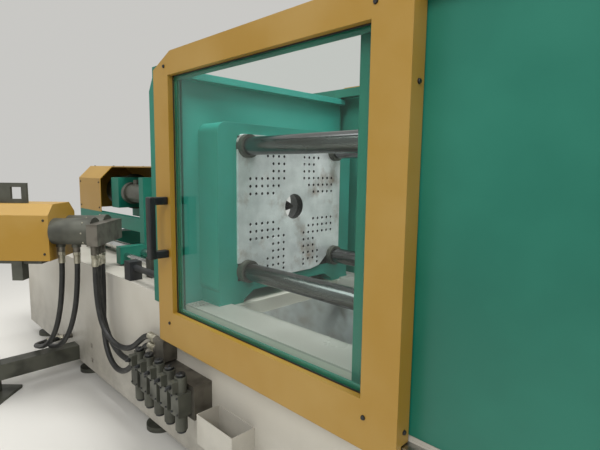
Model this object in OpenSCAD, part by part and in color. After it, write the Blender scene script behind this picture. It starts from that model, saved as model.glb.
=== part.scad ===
// Horizontal injection moulding machine with a direct hydraulic clamp.
// The origin is the centre of the locating bore on the mould face of the fixed platen.
// +X runs along the machine towards the clamp, -Y is the service side and +Z is up.

/* [Base] */
// Length of the base past the prefill valve of the clamp
base_tail = 260; // [150:10:400]
// Width of the welded base
base_w = 1060; // [1040:10:1120]
// Height of the welded base without its feet
base_h = 714; // [680:2:800]
// Distance from the injection end of the base to the mould face
base_back = 2750; // [2650:10:2900]
// Distance from the machine axis down to the deck
deck_drop = 436; // [430:2:460]
// Height of a levelling foot
foot_h = 100; // [70:5:140]
// Diameter of a levelling foot
foot_d = 160; // [120:5:200]
// Length of the drop opening in the deck
drop_len = 860; // [780:10:880]
// Width of the drop opening in the deck
drop_w = 760; // [700:10:780]

/* [Platens] */
// Width of a platen casting
platen_w = 900; // [890:5:940]
// Height of a platen casting
platen_h = 770; // [760:5:790]
// Thickness of the fixed platen
platen_t = 160; // [130:5:200]
// Thickness of the machined pad on a platen
pad_t = 12; // [6:1:20]
// Width of the machined pad
pad_w = 700; // [680:5:720]
// Height of the machined pad
pad_h = 676; // [664:4:700]
// Diameter of the locating bore
bore_d = 125; // [100:5:130]
// Length of the straight wall of the locating bore
bore_len = 40; // [20:5:60]
// Pitch of the mould bolt holes
grid_pitch = 35; // [34:1:36]
// Diameter of a mould bolt hole
tap_d = 14; // [10:1:16]
// Depth of a mould bolt hole
tap_depth = 36; // [24:2:48]
// Space between the open platens
daylight = 900; // [860:10:940]

/* [Clamp] */
// Diameter of a tie bar
tie_d = 80; // [70:5:90]
// Distance of a tie bar from the axis, across the machine
tie_y = 300; // [290:5:310]
// Distance of a tie bar from the axis, up or down
tie_z = 285; // [275:5:290]
// Diameter of the clamp ram
ram_d = 320; // [280:10:340]
// Outside diameter of the clamp cylinder
cylinder_d = 460; // [440:10:480]
// Length of the clamp cylinder
cylinder_len = 700; // [660:10:740]
// Thickness of the moving platen
moving_t = 150; // [130:5:160]
// Thickness of the rear platen
rear_t = 180; // [150:5:200]
// Travel of the ejector plate
ejector_travel = 90; // [60:5:100]

/* [Guards] */
// Height of the clamp covers above the axis
cover_top = 660; // [650:5:700]
// Distance of the clamp covers from the mould face
cover_start = 805; // [780:5:840]
// Thickness of a cover or guard sheet
sheet_t = 5; // [3:1:8]
// Height of the bulkhead above the axis
bulkhead_top = 594; // [560:2:600]
// Length of a sliding door
door_len = 1290; // [1200:10:1300]
// Thickness of a sliding door
door_t = 60; // [50:2:70]
// Height of the lower edge of a door below the axis
door_drop = 610; // [600:5:630]
// Height of the upper edge of a door above the axis
door_top = 665; // [655:5:690]
// Width of the stiles of the near door
stile_w = 124; // [100:2:140]
// Width of the handle stile of the far door
far_stile_w = 340; // [300:5:380]
// Height of the upper rail of a door
door_head = 96; // [80:2:110]
// Height of the lower rail of a door
door_sill = 150; // [130:2:170]
// Thickness of the window pane
pane_t = 8; // [5:1:12]
// Distance of the window pane behind the outer face of a door
pane_in = 26; // [12:1:30]
// Travel of a sliding door
door_travel = 1000; // [900:10:1020]

/* [Injection unit] */
// Outside diameter of the barrel
barrel_d = 110; // [96:2:120]
// Diameter of the screw
screw_d = 45; // [35:1:60]
// Diameter of a carriage guide bar
guide_d = 60; // [50:2:70]
// Distance of a guide bar from the axis, across the machine
guide_y = 240; // [230:5:260]
// Diameter of an injection cylinder
inj_cyl_d = 130; // [110:5:140]
// Width of the rear hood
hood_w = 480; // [470:5:520]
// Height of the rear hood above the axis
hood_top = 193; // [180:1:220]
// Outside diameter of the hopper
hopper_d = 360; // [320:10:380]
// Height of the hopper rim above the axis
hopper_top = 640; // [600:10:660]

/* [Side unit] */
// Length of the hood of the side unit
side_len = 700; // [600:10:760]
// Width of the hood of the side unit
side_w = 300; // [280:5:320]
// Diameter of a cylinder of the side unit
side_cyl_d = 150; // [130:5:150]
// Diameter of a hydraulic hose
hose_d = 30; // [24:1:32]

/* [Hidden] */
$fn = 64;

ochre = "#c59a45";
green = "#1f7a66";
cream = "#d6d2c8";
steel = "#b9bcc0";
dark = "#3a3c40";
black = "#1c1d1f";
bronze = "#a9793c";
clear = "#9fd8cc";
red = "#b02020";

// Clearances
run_gap = 0.05;
seat_gap = 0.3;
eps = 1;

// Chain of lengths along the clamp
spacer_room = 90;
ram_show = 100;
prefill_len = 130;
moving_x0 = daylight;
moving_x1 = moving_x0 + moving_t;
spacer_len = ejector_travel + spacer_room;
spacer_x1 = moving_x1 + spacer_len;
rear_x0 = spacer_x1 + ram_show;
rear_x1 = rear_x0 + rear_t;
clamp_x1 = rear_x1 + cylinder_len;

// Levels and planes of the base
half_w = base_w / 2;
base_x0 = -base_back;
base_x1 = clamp_x1 + prefill_len + base_tail;
base_len = base_x1 - base_x0;
deck_z = -deck_drop;
base_z0 = deck_z - base_h;
floor_z = base_z0 - foot_h;

// Drop opening, sills and chute
drop_x0 = 10;
drop_x1 = drop_x0 + drop_len;
sill_t = 8;
sill_r = 44;
sill_lip = 24;
sill_over = 6;
sill_x1 = drop_x1 + 12;
strip_x0 = -150;
slot_x = [strip_x0 + 16, strip_x0 + 50];
slot_n = 4;
slot_len = 24;
chute_t = 4;
chute_mouth = 260;
chute_gap = 64;
chute_drop = 396;
mouth_h = 420;
mouth_len = 560;
square_x = -1350;
square_z = [-981, -1081];
square_s = 32;
square_deep = 24;
fork_x = [base_x0 + 0.131 * base_len, base_x1 - 0.168 * base_len];
fork_w = 200;
fork_h = 70;
fork_deep = 120;

// Feet
foot_share = [0.034, 0.215, 0.402, 0.766, 0.966];
foot_x = [for (f = foot_share) base_x0 + f * base_len];
foot_in_y = 90;
foot_y = half_w - foot_in_y;
foot_pad_h = 28;
foot_stud_d = 36;
foot_nut_d = 64;
foot_nut_h = 30;
hex_sides = 6;

// Platens
platen_r = 45;
pad_r = 36;
cut_r = tie_d / 2;
pad_cut = [
  [tie_y - 4.5 * cut_r, -pad_h / 2 - eps], [tie_y - 2.7 * cut_r, -pad_h / 2 + cut_r / 3],
  [tie_y - 1.6 * cut_r, -tie_z - cut_r / 8], [tie_y - 0.8 * cut_r, -tie_z + cut_r / 1.7],
  [tie_y, -tie_z + cut_r], [pad_w, -tie_z + cut_r], [pad_w, -pad_h]
];
foot_in = tie_y - 120;
foot_out = platen_w / 2 - 10;
foot_low = foot_out - 110;
foot_t = 14;
foot_rim = 8;
foot_reach = 20;
strip_y = foot_out + foot_rim + seat_gap;
slot_pitch = (half_w - strip_y) / (slot_n + 0.5);
slot_w = 0.55 * slot_pitch;
slot_edge = 0.45 * slot_pitch;
cone_d = 260;
grid_rows = [[2, 4, 8], [3, 3, 8], [4, 2, 8], [5, 2, 4], [6, 2, 4], [7, 2, 5], [8, 2, 5]];
grid_last = [2, 5];
grid_last_row = 8.7;
spacer_w = 460;
spacer_wall = 60;
spacer_back_t = 40;

// Tie bars
nut_d = 130;
nut_len = 74;
collar_wall = 12;
collar_x1 = 26;
tie_x0 = -platen_t - nut_len - 16;
tie_x1 = rear_x1 + nut_len + 16;
bush_wall = 10;
bush_flange = 12;
bush_flange_d = tie_d + 50;

// Clamp cylinder and ram
flange_d = cylinder_d + 60;
flange_t = 50;
cap_t = 60;
ram_bore_d = ram_d + 2;
ram_x1 = clamp_x1 - 120;
prefill_d = ram_d - 60;
cap_rim = 30;
fill_back = 180;
fill_x = clamp_x1 - fill_back;
fill_d = 120;
fill_h = 90;
ejector_rod_d = 60;
ejector_pin_d = 28;
ejector_pin_y = 105;
ejector_t = 30;
ejector_edge = 40;
ejector_h = 100;
ejector_rod_in = 200;
ejector_bore_in = 220;
ejector_pin_back = 8;
bush_in = 6;
ejector_x1 = spacer_x1 - spacer_back_t - 5;
ejector_x0 = ejector_x1 - ejector_t;

// Guards
guard_out = half_w + sheet_t;
cover_drop = deck_drop + 106;
cover_return = 60;
louvre_n = 12;
louvre_y = 230;
louvre_len = 300;
louvre_h = 10;
louvre_pitch = 30;
louvre_z = 120;
guard_x0 = -450;
guard_x1 = -156;
bulk_t = 12;
bulk_rim = 30;
bulk_rim_out = 40;
bulk_hole = 420;
bulk_hole_r = 60;
nut_room = 10;
guard_low = -475;
guard_inset = 36;
guard_slope = 60;
bulk_x1 = -platen_t;
bulk_x0 = bulk_x1 - bulk_t;
beam_w = 45;
beam_h = 47;
beam_z0 = bulkhead_top + 8;

// Doors
door_gap = 5;
door_y0 = guard_out + door_gap;
door_y1 = door_y0 + door_t;
door_x0 = -280;
door_x1 = door_x0 + door_len;
door_wall = 6;
door_chamfer = [145, 60];
win_x1 = door_x1 - stile_w;
win_z0 = -door_drop + door_sill;
win_z1 = door_top - door_head;
rail_t = 12;
rail_out = door_y1 - 28;
low_rail_z = -door_drop + 35;
top_rail_z = beam_z0 + 10;
rail_x0 = -170;
rail_x1 = door_x1 + door_travel + 30;
rail_slot = 4;
rail_notch = 100;
runner_w = 160;
runner_h = 30;
runner_inset = 4;
runner_in = [300, 460];
runner_x = [door_x0 + runner_in[0], door_x1 - runner_in[1]];
handle_x = door_x0 + 90;
handle_s = 36;
handle_reach = 90;
handle_z0 = -210;
handle_z1 = 60;

// Injection unit
guide_z = -370;
stand_t = 70;
stand_w = 110;
stand_over = 52;
guide_x1 = -270;
guide_x0 = -2420;
front_x1 = -1150;
front_x0 = -1210;
feed_x0 = front_x1;
feed_x1 = -990;
feed_x = (feed_x0 + feed_x1) / 2;
feed_w = 220;
feed_top = 120;
feed_low = -100;
barrel_x1 = -180;
barrel_head_d = 132;
barrel_head_len = 80;
nozzle_x1 = -22;
nozzle_d = 66;
nozzle_len = 90;
nozzle_tip_d = 24;
nozzle_hex_d = 84;
nozzle_hex_len = 30;
nozzle_hex_in = 20;
melt_d = 30;
gate_d = 5;
gate_len = 30;
cross_x1 = -1640;
cross_x0 = -1760;
cross_w = 380;
cross_h = 220;
inj_y = 115;
inj_rod_d = 56;
inj_x0 = -1590;
inj_flange_t = 40;
inj_flange = 26;
inj_port_d = 40;
inj_port_h = 30;
inj_port_sink = 12;
inj_rod_rest = 60;
motor_d = 240;
motor_len = 270;
motor_x0 = cross_x0 - motor_len;
motor_flange = 30;
motor_cap_d = 150;
motor_cap_len = 60;
hub_d = screw_d + 20;
hub_len = 90;
hub_room = 10;
shank_d = screw_d - 4;
core_d = screw_d - 10;
tip_d = 6;
tip_len = 50;
tip_in = 70;
flight_t = 8;
flight_in = 30;
hood_x0 = -2270;
hood_x1 = -1843;
hood_open_x1 = -1215;
hood_chamfer = 94;
hood_t = 4;
beam_top = -150;
beam_low = -240;
beam_in = 200;
beam_t = 40;
bearing_h = 110;
bearing_over = 60;
back_x0 = -1980;
back_x1 = -1860;
shelf_t = 60;
pull_edge = 40;
screw_room = 40;
pull_y = 362;
pull_d = 64;
pull_rod_d = 34;
pull_x0 = -760;
pull_end = 40;
pull_rest = 20;
pull_foot_t = 60;
pull_foot_w = 96;
pull_foot_over = 46;
pull_x1 = bulk_x0;
band_n = 7;
band_x1 = -290;
band_pitch = 96;
band_x = [for (i = [0:band_n - 1]) band_x1 - i * band_pitch];
band_len = 62;
band_d = barrel_d + 22;
box_in = 16;
box_w = 40;
box_h = 26;
box_sink = 4;

// Locking rod beside the near guide bar
lock_x = -782;
lock_y = -half_w + 40;
lock_z = -366;
lock_s = 70;
lock_rod_d = 34;

// Hopper
gate_z = feed_top + 22;
gate_t = 8;
gate_w = 110;
throat_d = 80;
throat_step = 20;
neck_z = feed_top + 60;
cone_top = neck_z + 240;
hopper_wall = 3;
gate_slot_end = 60;
gate_out = 40;
gate_grip = [60, 8, 32];
gate_grip_low = 12;
neck_rim = 30;
neck_rim_t = 8;
ear_x = 60;
ear_t = 16;
ear_h = 30;
ear_in = 12;
lid_pin_drop = 8;
lid_t = 12;
lid_rim = 3;
lid_arm = 40;
lid_arm_in = 30;
lid_boss = 16;
lid_boss_w = 12;
lid_grip_d = 18;
lid_grip_out = 34;
lid_grip_in = 4;
lid_hinge_y = hopper_d / 2 + 24;
lid_pin_d = 12;

// Control panel
panel_x1 = -500;
panel_x0 = -860;
panel_y0 = guard_out + 10;
panel_z0 = 60;
panel_z1 = 560;
panel_t = 120;
panel_pin_d = 20;
panel_pin_x = -474;
panel_pin_y = guard_out + 40;
panel_lug_t = 16;
panel_lug_in = 20;
panel_lug_out = 44;
panel_lug_gap = 2;
panel_strap_t = 12;
panel_strap_x = 26;
panel_hub = 22;
desk_out = 60;
desk_h = 40;
desk_top = 190;
screen_in = [40, 100];
screen_z = [240, 40];
screen_deep = 4;
stop_x = panel_x1 - 50;
stop_z = 480;
stop_d = 40;
stop_stem_d = 22;
stop_hole = 40;
stop_sink = 25;
stop_neck = 14;
stop_cap = 12;
switch_sink = 25;
switch_knob = [2, 22];
switch_bar = [24, 19, 68];
switch_x = -2300;
switch_z = -700;
switch_pin_d = 14;
switch_d = 70;

// Side unit: its axis lies at 45 degrees to the machine
side_angle = 45;
side_at = [-1233, -half_w - 175, 0];
side_z0 = -344;
side_z1 = -27;
side_cyl_z = -182;
side_cyl_y = 85;
side_cyl_len = 230;
side_chamfer = 60;
port_z = -250;
port_d = 40;
boss_z = -272;
boss_d = 50;
side_cyl_end = 40;
side_cyl_rim = 12;
port_block = [60, 45, -130];
console_t = 20;
console_in = 20;
console_x1 = -60;
lock_foot = [[-225, -140, side_z0 - 115], [-165, -80, side_z0]];
plate_h = 116;
plate_t = 18;
plate_y = -50;
plate_x = [-620, -170];
plate_hole = [-262, -200];
plate_rim = 24;
stand_x = 560;
stand_s = 160;
stand_foot = 320;
beam_x = side_at[0] - stand_x * cos(side_angle);
beam_y = side_at[1] - stand_x * sin(side_angle);
beam_s = 100;
beam_at = -1045;

// Valves under the service door
block_x0 = -440;
block_x1 = 40;
block_z0 = -880;
block_z1 = -730;
block_w = 90;
valve_n = 5;
valve_pitch = 94;
joint_x0 = -330;
joint_x1 = -250;
joint_z0 = -722;
joint_z1 = -622;
joint_w = 72;
fitting_d = hose_d + 6;
valve_s = 62;
valve_h = 100;
valve_in = 5;
coil_d = 52;
coil_len = 68;
plug_w = 32;
plug_out = 18;
plug_gap = 8;
plug_cap = 12;
tray_x0 = 90;
tray_x1 = 330;
tray_z0 = -950;
tray_z1 = -820;
tray_w = 110;
tray_t = 3;

// Hose routes, chosen by hand and measured from the side of the base
route_a = beside([
  [-930, -110, -300], [-930, -110, -380], [-930, -110, -460], [-928, -108, -540],
  [-920, -104, -615], [-900, -98, -685], [-862, -88, -742], [-805, -76, -778], [-735, -66, -788],
  [-665, -58, -776], [-600, -52, -746], [-545, -48, -706], [-490, -45, -668], [-425, -45, -647],
  [-370, -45, -647]
]);
route_b = beside([
  [-960, -80, -300], [-960, -80, -380], [-960, -80, -460], [-958, -78, -540], [-952, -74, -620],
  [-938, -68, -698], [-908, -60, -768], [-858, -52, -822], [-792, -46, -852], [-718, -43, -856],
  [-645, -42, -836], [-580, -43, -798], [-524, -44, -750], [-476, -45, -712], [-425, -45, -695],
  [-370, -45, -695]
]);
route_c = beside([
  [-992, -46, -300], [-992, -46, -380], [-992, -46, -460], [-992, -47, -540], [-990, -50, -620],
  [-984, -55, -700], [-968, -60, -778], [-932, -64, -848], [-876, -67, -900], [-806, -69, -925],
  [-732, -70, -922], [-664, -70, -896], [-606, -70, -856], [-562, -70, -818], [-520, -70, -805],
  [-480, -70, -805]
]);
route_d = beside([
  [-1090, -150, -300], [-1090, -150, -370], [-1094, -152, -450], [-1104, -155, -530],
  [-1122, -158, -608], [-1150, -162, -683], [-1188, -166, -754], [-1236, -170, -818],
  [-1294, -174, -874], [-1360, -178, -920], [-1432, -180, -955], [-1508, -180, -980],
  [-1580, -180, -996], [-1650, -170, -1004], [-1702, -130, -1010], [-1720, -85, -1010],
  [-1720, -60, -1010]
]);
route_e = beside([
  [-1160, -210, -300], [-1160, -210, -370], [-1164, -212, -450], [-1174, -215, -530],
  [-1192, -218, -608], [-1220, -221, -683], [-1258, -224, -754], [-1306, -227, -818],
  [-1364, -230, -874], [-1430, -232, -920], [-1502, -233, -958], [-1578, -233, -988],
  [-1655, -233, -1010], [-1730, -227, -1030], [-1800, -202, -1048], [-1846, -158, -1059],
  [-1860, -106, -1060], [-1860, -60, -1060]
]);

// Points whose Y is measured from the side of the base
function beside(p) = [for (q = p) q - [0, half_w, 0]];

// The last point of a route
function last(p) = p[len(p) - 1];

// A box between two corners
module block(lo, hi) {
  translate(lo) cube(hi - lo);
}

// A round bar along X
module rod_x(x0, x1, d, y = 0, z = 0) {
  translate([x0, y, z]) rotate([0, 90, 0]) cylinder(d = d, h = x1 - x0);
}

// A round bar along Y
module rod_y(y0, y1, d, x = 0, z = 0) {
  translate([x, y0, z]) rotate([-90, 0, 0]) cylinder(d = d, h = y1 - y0);
}

// A round bar along Z
module rod_z(z0, z1, d, x = 0, y = 0) {
  translate([x, y, z0]) cylinder(d = d, h = z1 - z0);
}

// A rectangle with round corners
module rounded_rect(w, h, r) {
  square([w - 2 * r, h], center = true);
  square([w, h - 2 * r], center = true);
  for (sx = [-1, 1], sy = [-1, 1])
    translate([sx * (w / 2 - r), sy * (h / 2 - r)]) circle(r = r);
}

// A plate across the machine, with its outline in the YZ plane
module across(x0, x1) {
  translate([x0, 0, 0]) rotate([90, 0, 90]) linear_extrude(x1 - x0) children();
}

// A sheet along the machine, with its outline in the XZ plane
module along(y0, y1) {
  translate([0, y1, 0]) rotate([90, 0, 0]) linear_extrude(y1 - y0) children();
}

// The same outline at both ends of the Y axis
module both_flanks() {
  children();
  mirror([1, 0]) children();
}

// The same piece on both sides of the machine
module both_sides() {
  children();
  mirror([0, 1, 0]) children();
}

// The same piece at each tie bar
module each_tie() {
  for (sy = [-1, 1], sz = [-1, 1])
    translate([0, sy * tie_y, sz * tie_z]) children();
}

// Bolt holes of a platen, drilled from the plane x = 0 towards -X
module bolt_grid() {
  for (sy = [-1, 1], sz = [-1, 1]) {
    for (row = grid_rows, col = [row[1]:row[2]])
      rod_x(-tap_depth, eps, tap_d, sy * col * grid_pitch, sz * row[0] * grid_pitch);
    for (col = grid_last)
      rod_x(-tap_depth, eps, tap_d, sy * col * grid_pitch, sz * grid_last_row * grid_pitch);
  }
}

// Casting with a machined pad on its +X side, which ends at x = 0
module platen_body(t) {
  across(-t, -pad_t) rounded_rect(platen_w, platen_h, platen_r);
  across(-pad_t - eps, 0) difference() {
    rounded_rect(pad_w, pad_h, pad_r);
    both_flanks() polygon(pad_cut);
  }
}

// Cast foot between a platen and the deck, narrower at its flange
module platen_foot(x0, x1) {
  top = -platen_h / 2 + platen_r;
  across(x0, x1) both_flanks()
    polygon([[foot_in, top], [foot_low, deck_z], [foot_out, deck_z], [foot_out, top]]);
  both_sides() block([x0, -foot_out - foot_rim, deck_z], [x1, -foot_low + foot_reach, deck_z + foot_t]);
}

module base_frame() {
  color(cream) difference() {
    block([base_x0, -half_w, base_z0], [base_x1, half_w, deck_z]);
    block([drop_x0, -drop_w / 2, base_z0 - eps], [drop_x1, drop_w / 2, deck_z + eps]);
    block([drop_x0 + (drop_len - mouth_len) / 2, drop_w / 2 - eps, base_z0 - eps],
          [drop_x0 + (drop_len + mouth_len) / 2, half_w + eps, base_z0 + mouth_h]);
    for (z = square_z)
      block([square_x - square_s / 2, -half_w - eps, z - square_s / 2],
            [square_x + square_s / 2, -half_w + square_deep, z + square_s / 2]);
    for (x = fork_x)
      both_sides()
        block([x, -half_w - eps, base_z0 - eps], [x + fork_w, -half_w + fork_deep, base_z0 + fork_h]);
    rod_y(half_w - switch_sink - seat_gap, half_w + eps, switch_pin_d + 2 * run_gap, switch_x, switch_z);
  }
}

module levelling_feet() {
  color(dark) for (x = foot_x, side = [-1, 1]) {
    rod_z(floor_z, floor_z + foot_pad_h, foot_d, x, side * foot_y);
    rod_z(floor_z + foot_pad_h - eps, base_z0, foot_stud_d, x, side * foot_y);
    translate([x, side * foot_y, base_z0 - foot_nut_h])
      cylinder(d = foot_nut_d, h = foot_nut_h, $fn = hex_sides);
  }
}

// Sheet on the deck beside the drop opening, rolled down into the opening
module sill_outline() {
  bend_y = -drop_w / 2 + sill_over;
  bend_z = deck_z + sill_t - sill_r;
  inner_r = sill_r - sill_t;
  outer = [for (a = [0:10:90]) [bend_y + sill_r * sin(a), bend_z + sill_r * cos(a)]];
  inner = [for (a = [90:-10:0]) [bend_y + inner_r * sin(a), bend_z + inner_r * cos(a)]];
  lip = [[bend_y + sill_r, bend_z - sill_lip], [bend_y + inner_r, bend_z - sill_lip]];
  polygon(concat([[-half_w, deck_z], [-half_w, deck_z + sill_t]], outer, lip, inner));
}

module deck_sills() {
  color(cream) both_sides() {
    across(drop_x0 + seat_gap, drop_x1 - seat_gap) sill_outline();
    difference() {
      block([strip_x0, -half_w, deck_z],
            [drop_x0 + 2 * seat_gap, -strip_y, deck_z + sill_t]);
      for (x = slot_x, i = [0:slot_n - 1])
        translate([x, -half_w + slot_edge + i * slot_pitch, deck_z - eps])
          cube([slot_len, slot_w, sill_t + 2 * eps]);
    }
    block([-pad_t, -half_w, deck_z], [drop_x0 + 2 * seat_gap, -drop_w / 2, deck_z + sill_t]);
    block([drop_x1 - 2 * seat_gap, -half_w, deck_z], [sill_x1, -drop_w / 2, deck_z + sill_t]);
  }
}

module drop_chute() {
  mid = (drop_x0 + drop_x1) / 2;
  x0 = drop_x0;
  x1 = drop_x1;
  z1 = deck_z - chute_gap;
  z0 = z1 - chute_drop;
  half = chute_mouth / 2;
  color(steel) difference() {
    along(-drop_w / 2, drop_w / 2)
      polygon([[x0, z1], [x1, z1], [mid + half, z0], [mid - half, z0]]);
    along(-drop_w / 2 + chute_t, drop_w / 2 - chute_t)
      polygon([[x0 + 2 * chute_t, z1 + eps], [x1 - 2 * chute_t, z1 + eps],
               [mid + half - chute_t, z0 - eps], [mid - half + chute_t, z0 - eps]]);
  }
}

module fixed_platen() {
  color(green) difference() {
    union() {
      platen_body(platen_t);
      platen_foot(-platen_t, -pad_t);
    }
    rod_x(-bore_len - eps, eps, bore_d);
    translate([-platen_t - eps, 0, 0]) rotate([0, 90, 0])
      cylinder(d1 = cone_d, d2 = bore_d, h = platen_t - bore_len + eps);
    each_tie() {
      rod_x(-platen_t - eps, eps, tie_d + 2 * seat_gap);
      rod_x(-pad_t, eps, tie_d + 2 * collar_wall + 2 * seat_gap);
    }
    bolt_grid();
  }
}

module tie_bars() {
  color(steel) each_tie() rod_x(tie_x0, tie_x1, tie_d);
}

module tie_bar_nuts() {
  color(dark) each_tie() difference() {
    union() {
      rod_x(-platen_t - nut_len, -platen_t, nut_d);
      rod_x(-pad_t, collar_x1, tie_d + 2 * collar_wall);
      rod_x(rear_x1, rear_x1 + nut_len, nut_d);
    }
    rod_x(tie_x0 - eps, tie_x1 + eps, tie_d + 2 * seat_gap);
  }
}

module front_bulkhead() {
  color(green) difference() {
    union() {
      across(bulk_x0, bulk_x1)
        translate([-half_w, deck_z]) square([base_w, bulkhead_top - deck_z]);
      block([bulk_x1 - eps, -half_w, bulkhead_top - bulk_rim],
            [bulk_x1 + bulk_rim_out, half_w, bulkhead_top]);
    }
    across(bulk_x0 - eps, bulk_x1 + eps) rounded_rect(bulk_hole, bulk_hole, bulk_hole_r);
    each_tie() rod_x(bulk_x0 - eps, bulk_x1 + eps, nut_d + nut_room);
  }
}

module side_guards() {
  color(green) both_sides() along(-guard_out, -half_w)
    polygon([[guard_x0, guard_low], [guard_x1, guard_low], [guard_x1, beam_z0],
             [guard_x0 + guard_inset, beam_z0], [guard_x0, beam_z0 - guard_slope]]);
}

module guide_beams() {
  color(green) both_sides()
    block([guard_x0 + guard_inset, -guard_out, beam_z0],
          [cover_start, -guard_out + beam_w, beam_z0 + beam_h]);
}

module door_rails() {
  color(steel) both_sides() {
    block([rail_x0, -rail_out, low_rail_z], [rail_x1, -half_w, low_rail_z + rail_t]);
    block([rail_x0, -rail_out, top_rail_z], [rail_x1, -guard_out, top_rail_z + rail_t]);
  }
}

module rear_platen() {
  color(green) difference() {
    union() {
      across(rear_x0, rear_x1) rounded_rect(platen_w, platen_h, platen_r);
      platen_foot(rear_x0, rear_x1);
    }
    rod_x(rear_x0 - eps, rear_x1 + eps, ram_d + 2 * run_gap);
    each_tie() rod_x(rear_x0 - eps, rear_x1 + eps, tie_d + 2 * seat_gap);
  }
}

module clamp_cylinder() {
  color(dark) difference() {
    union() {
      rod_x(rear_x1, rear_x1 + flange_t, flange_d);
      rod_x(rear_x1, clamp_x1, cylinder_d);
      rod_x(clamp_x1 - cap_t, clamp_x1, cylinder_d + cap_rim);
      rod_x(clamp_x1, clamp_x1 + prefill_len, prefill_d);
      rod_z(0, cylinder_d / 2 + fill_h, fill_d, fill_x);
    }
    rod_x(rear_x1 - eps, clamp_x1 - cap_t, ram_bore_d);
  }
}

// Sheet cover of the clamp on one side, with a return at its front edge
module clamp_cover() {
  block([cover_start, -guard_out, -cover_drop], [base_x1, -half_w, cover_top]);
  block([cover_start, -half_w - eps, deck_z + sill_t],
        [cover_start + sheet_t, -half_w + cover_return, cover_top - sheet_t]);
}

module near_clamp_cover() {
  color(green) clamp_cover();
}

module far_clamp_cover() {
  color(green) mirror([0, 1, 0]) clamp_cover();
}

module clamp_roof() {
  color(green) difference() {
    union() {
      block([cover_start, -half_w, cover_top - sheet_t], [base_x1, half_w, cover_top]);
      block([base_x1 - sheet_t, -half_w, deck_z], [base_x1, half_w, cover_top - sheet_t + eps]);
    }
    for (i = [0:louvre_n - 1], s = [-1, 1])
      translate([base_x1 - sheet_t - eps, s * louvre_y - louvre_len / 2, louvre_z + i * louvre_pitch])
        cube([sheet_t + 2 * eps, louvre_len, louvre_h]);
  }
}

// Valves
module valve_block() {
  color(steel) {
    block([block_x0, -half_w - block_w, block_z0], [block_x1, -half_w, block_z1]);
    block([joint_x0, -half_w - joint_w, joint_z0], [joint_x1, -half_w, joint_z1]);
    for (p = [last(route_a), last(route_b)])
      rod_x(p[0], joint_x0 + eps, fitting_d, p[1], p[2]);
    for (p = [last(route_c)])
      rod_x(p[0], block_x0 + eps, fitting_d, p[1], p[2]);
    for (p = [last(route_d), last(route_e)])
      rod_y(p[1], -half_w, fitting_d, p[0], p[2]);
  }
}

module solenoid_valves() {
  y1 = -half_w - block_w;
  z = (block_z0 + block_z1) / 2;
  half = valve_h / 2;
  color(dark) for (i = [0:valve_n - 1]) {
    x = block_x0 + valve_pitch / 2 + valve_in + i * valve_pitch;
    block([x - valve_s / 2, y1 - valve_s, z - half], [x + valve_s / 2, y1, z + half]);
    rod_z(z - half - coil_len, z + half + coil_len, coil_d, x, y1 - valve_s / 2);
    block([x - plug_w / 2, y1 - valve_s - plug_out, z + half + plug_gap],
          [x + plug_w / 2, y1 - valve_s / 2, z + half + coil_len - plug_cap]);
  }
}

module drip_tray() {
  color(cream) difference() {
    block([tray_x0, -half_w - tray_w, tray_z0], [tray_x1, -half_w, tray_z1]);
    block([tray_x0 + tray_t, -half_w - tray_w + tray_t, tray_z0 + tray_t],
          [tray_x1 - tray_t, -half_w - tray_t, tray_z1 + eps]);
  }
}

// Injection unit
module guide_bars() {
  color(steel) for (s = [-1, 1]) rod_x(guide_x0, guide_x1, guide_d, s * guide_y, guide_z);
}

module bar_stands() {
  color(black) {
    for (s = [-1, 1], x = [guide_x0, guide_x1 - stand_t])
      difference() {
        block([x, s * guide_y - stand_w / 2, deck_z],
              [x + stand_t, s * guide_y + stand_w / 2, guide_z + stand_over]);
        rod_x(x - eps, x + stand_t + eps, guide_d + 2 * seat_gap, s * guide_y, guide_z);
      }
    block([lock_x - lock_s / 2, lock_y - lock_s / 2, deck_z],
          [lock_x + lock_s / 2, lock_y + lock_s / 2, lock_z + lock_s / 2]);
    rod_x(lock_x, bulk_x0, lock_rod_d, lock_y, lock_z);
  }
}

module pull_cylinders() {
  color(dark) for (s = [-1, 1]) difference() {
    union() {
      rod_x(pull_x0, pull_x1, pull_d, s * pull_y, guide_z);
      block([pull_x0 - pull_foot_t / 2, s * pull_y - pull_foot_w / 2, deck_z],
            [pull_x0 + pull_foot_t / 2, s * pull_y + pull_foot_w / 2, guide_z + pull_foot_over]);
    }
    rod_x(pull_x0 - pull_foot_t / 2 - eps, pull_x1 - pull_end, pull_rod_d + 2 * run_gap,
          s * pull_y, guide_z);
  }
}

module pull_rods() {
  color(steel) for (s = [-1, 1])
    rod_x(front_x1, pull_x1 - pull_end - pull_rest, pull_rod_d, s * pull_y, guide_z);
}

module carriage_frame() {
  low = guide_z - bearing_h / 2;
  high = guide_z + bearing_h / 2;
  out = pull_y + pull_edge;
  color(green) difference() {
    union() {
      block([front_x0, -out, low], [front_x1, out, high]);
      block([front_x0, -beam_in - beam_t, high - eps], [front_x1, beam_in + beam_t, feed_top]);
      block([front_x1 - eps, -feed_w / 2, feed_low - shelf_t], [feed_x1, feed_w / 2, feed_low]);
      block([back_x0, -guide_y - bearing_over, low], [back_x1, guide_y + bearing_over, high]);
      both_sides() {
        block([back_x0, -beam_in - beam_t, high - eps], [back_x1, -beam_in, beam_low + eps]);
        block([hood_x0, -beam_in - beam_t, beam_low], [front_x0 + eps, -beam_in, beam_top]);
      }
    }
    for (s = [-1, 1]) rod_x(back_x0 - eps, front_x1 + eps, guide_d + 2 * run_gap, s * guide_y, guide_z);
    rod_x(front_x0 - eps, front_x1 + eps, screw_d + screw_room);
  }
}

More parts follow.
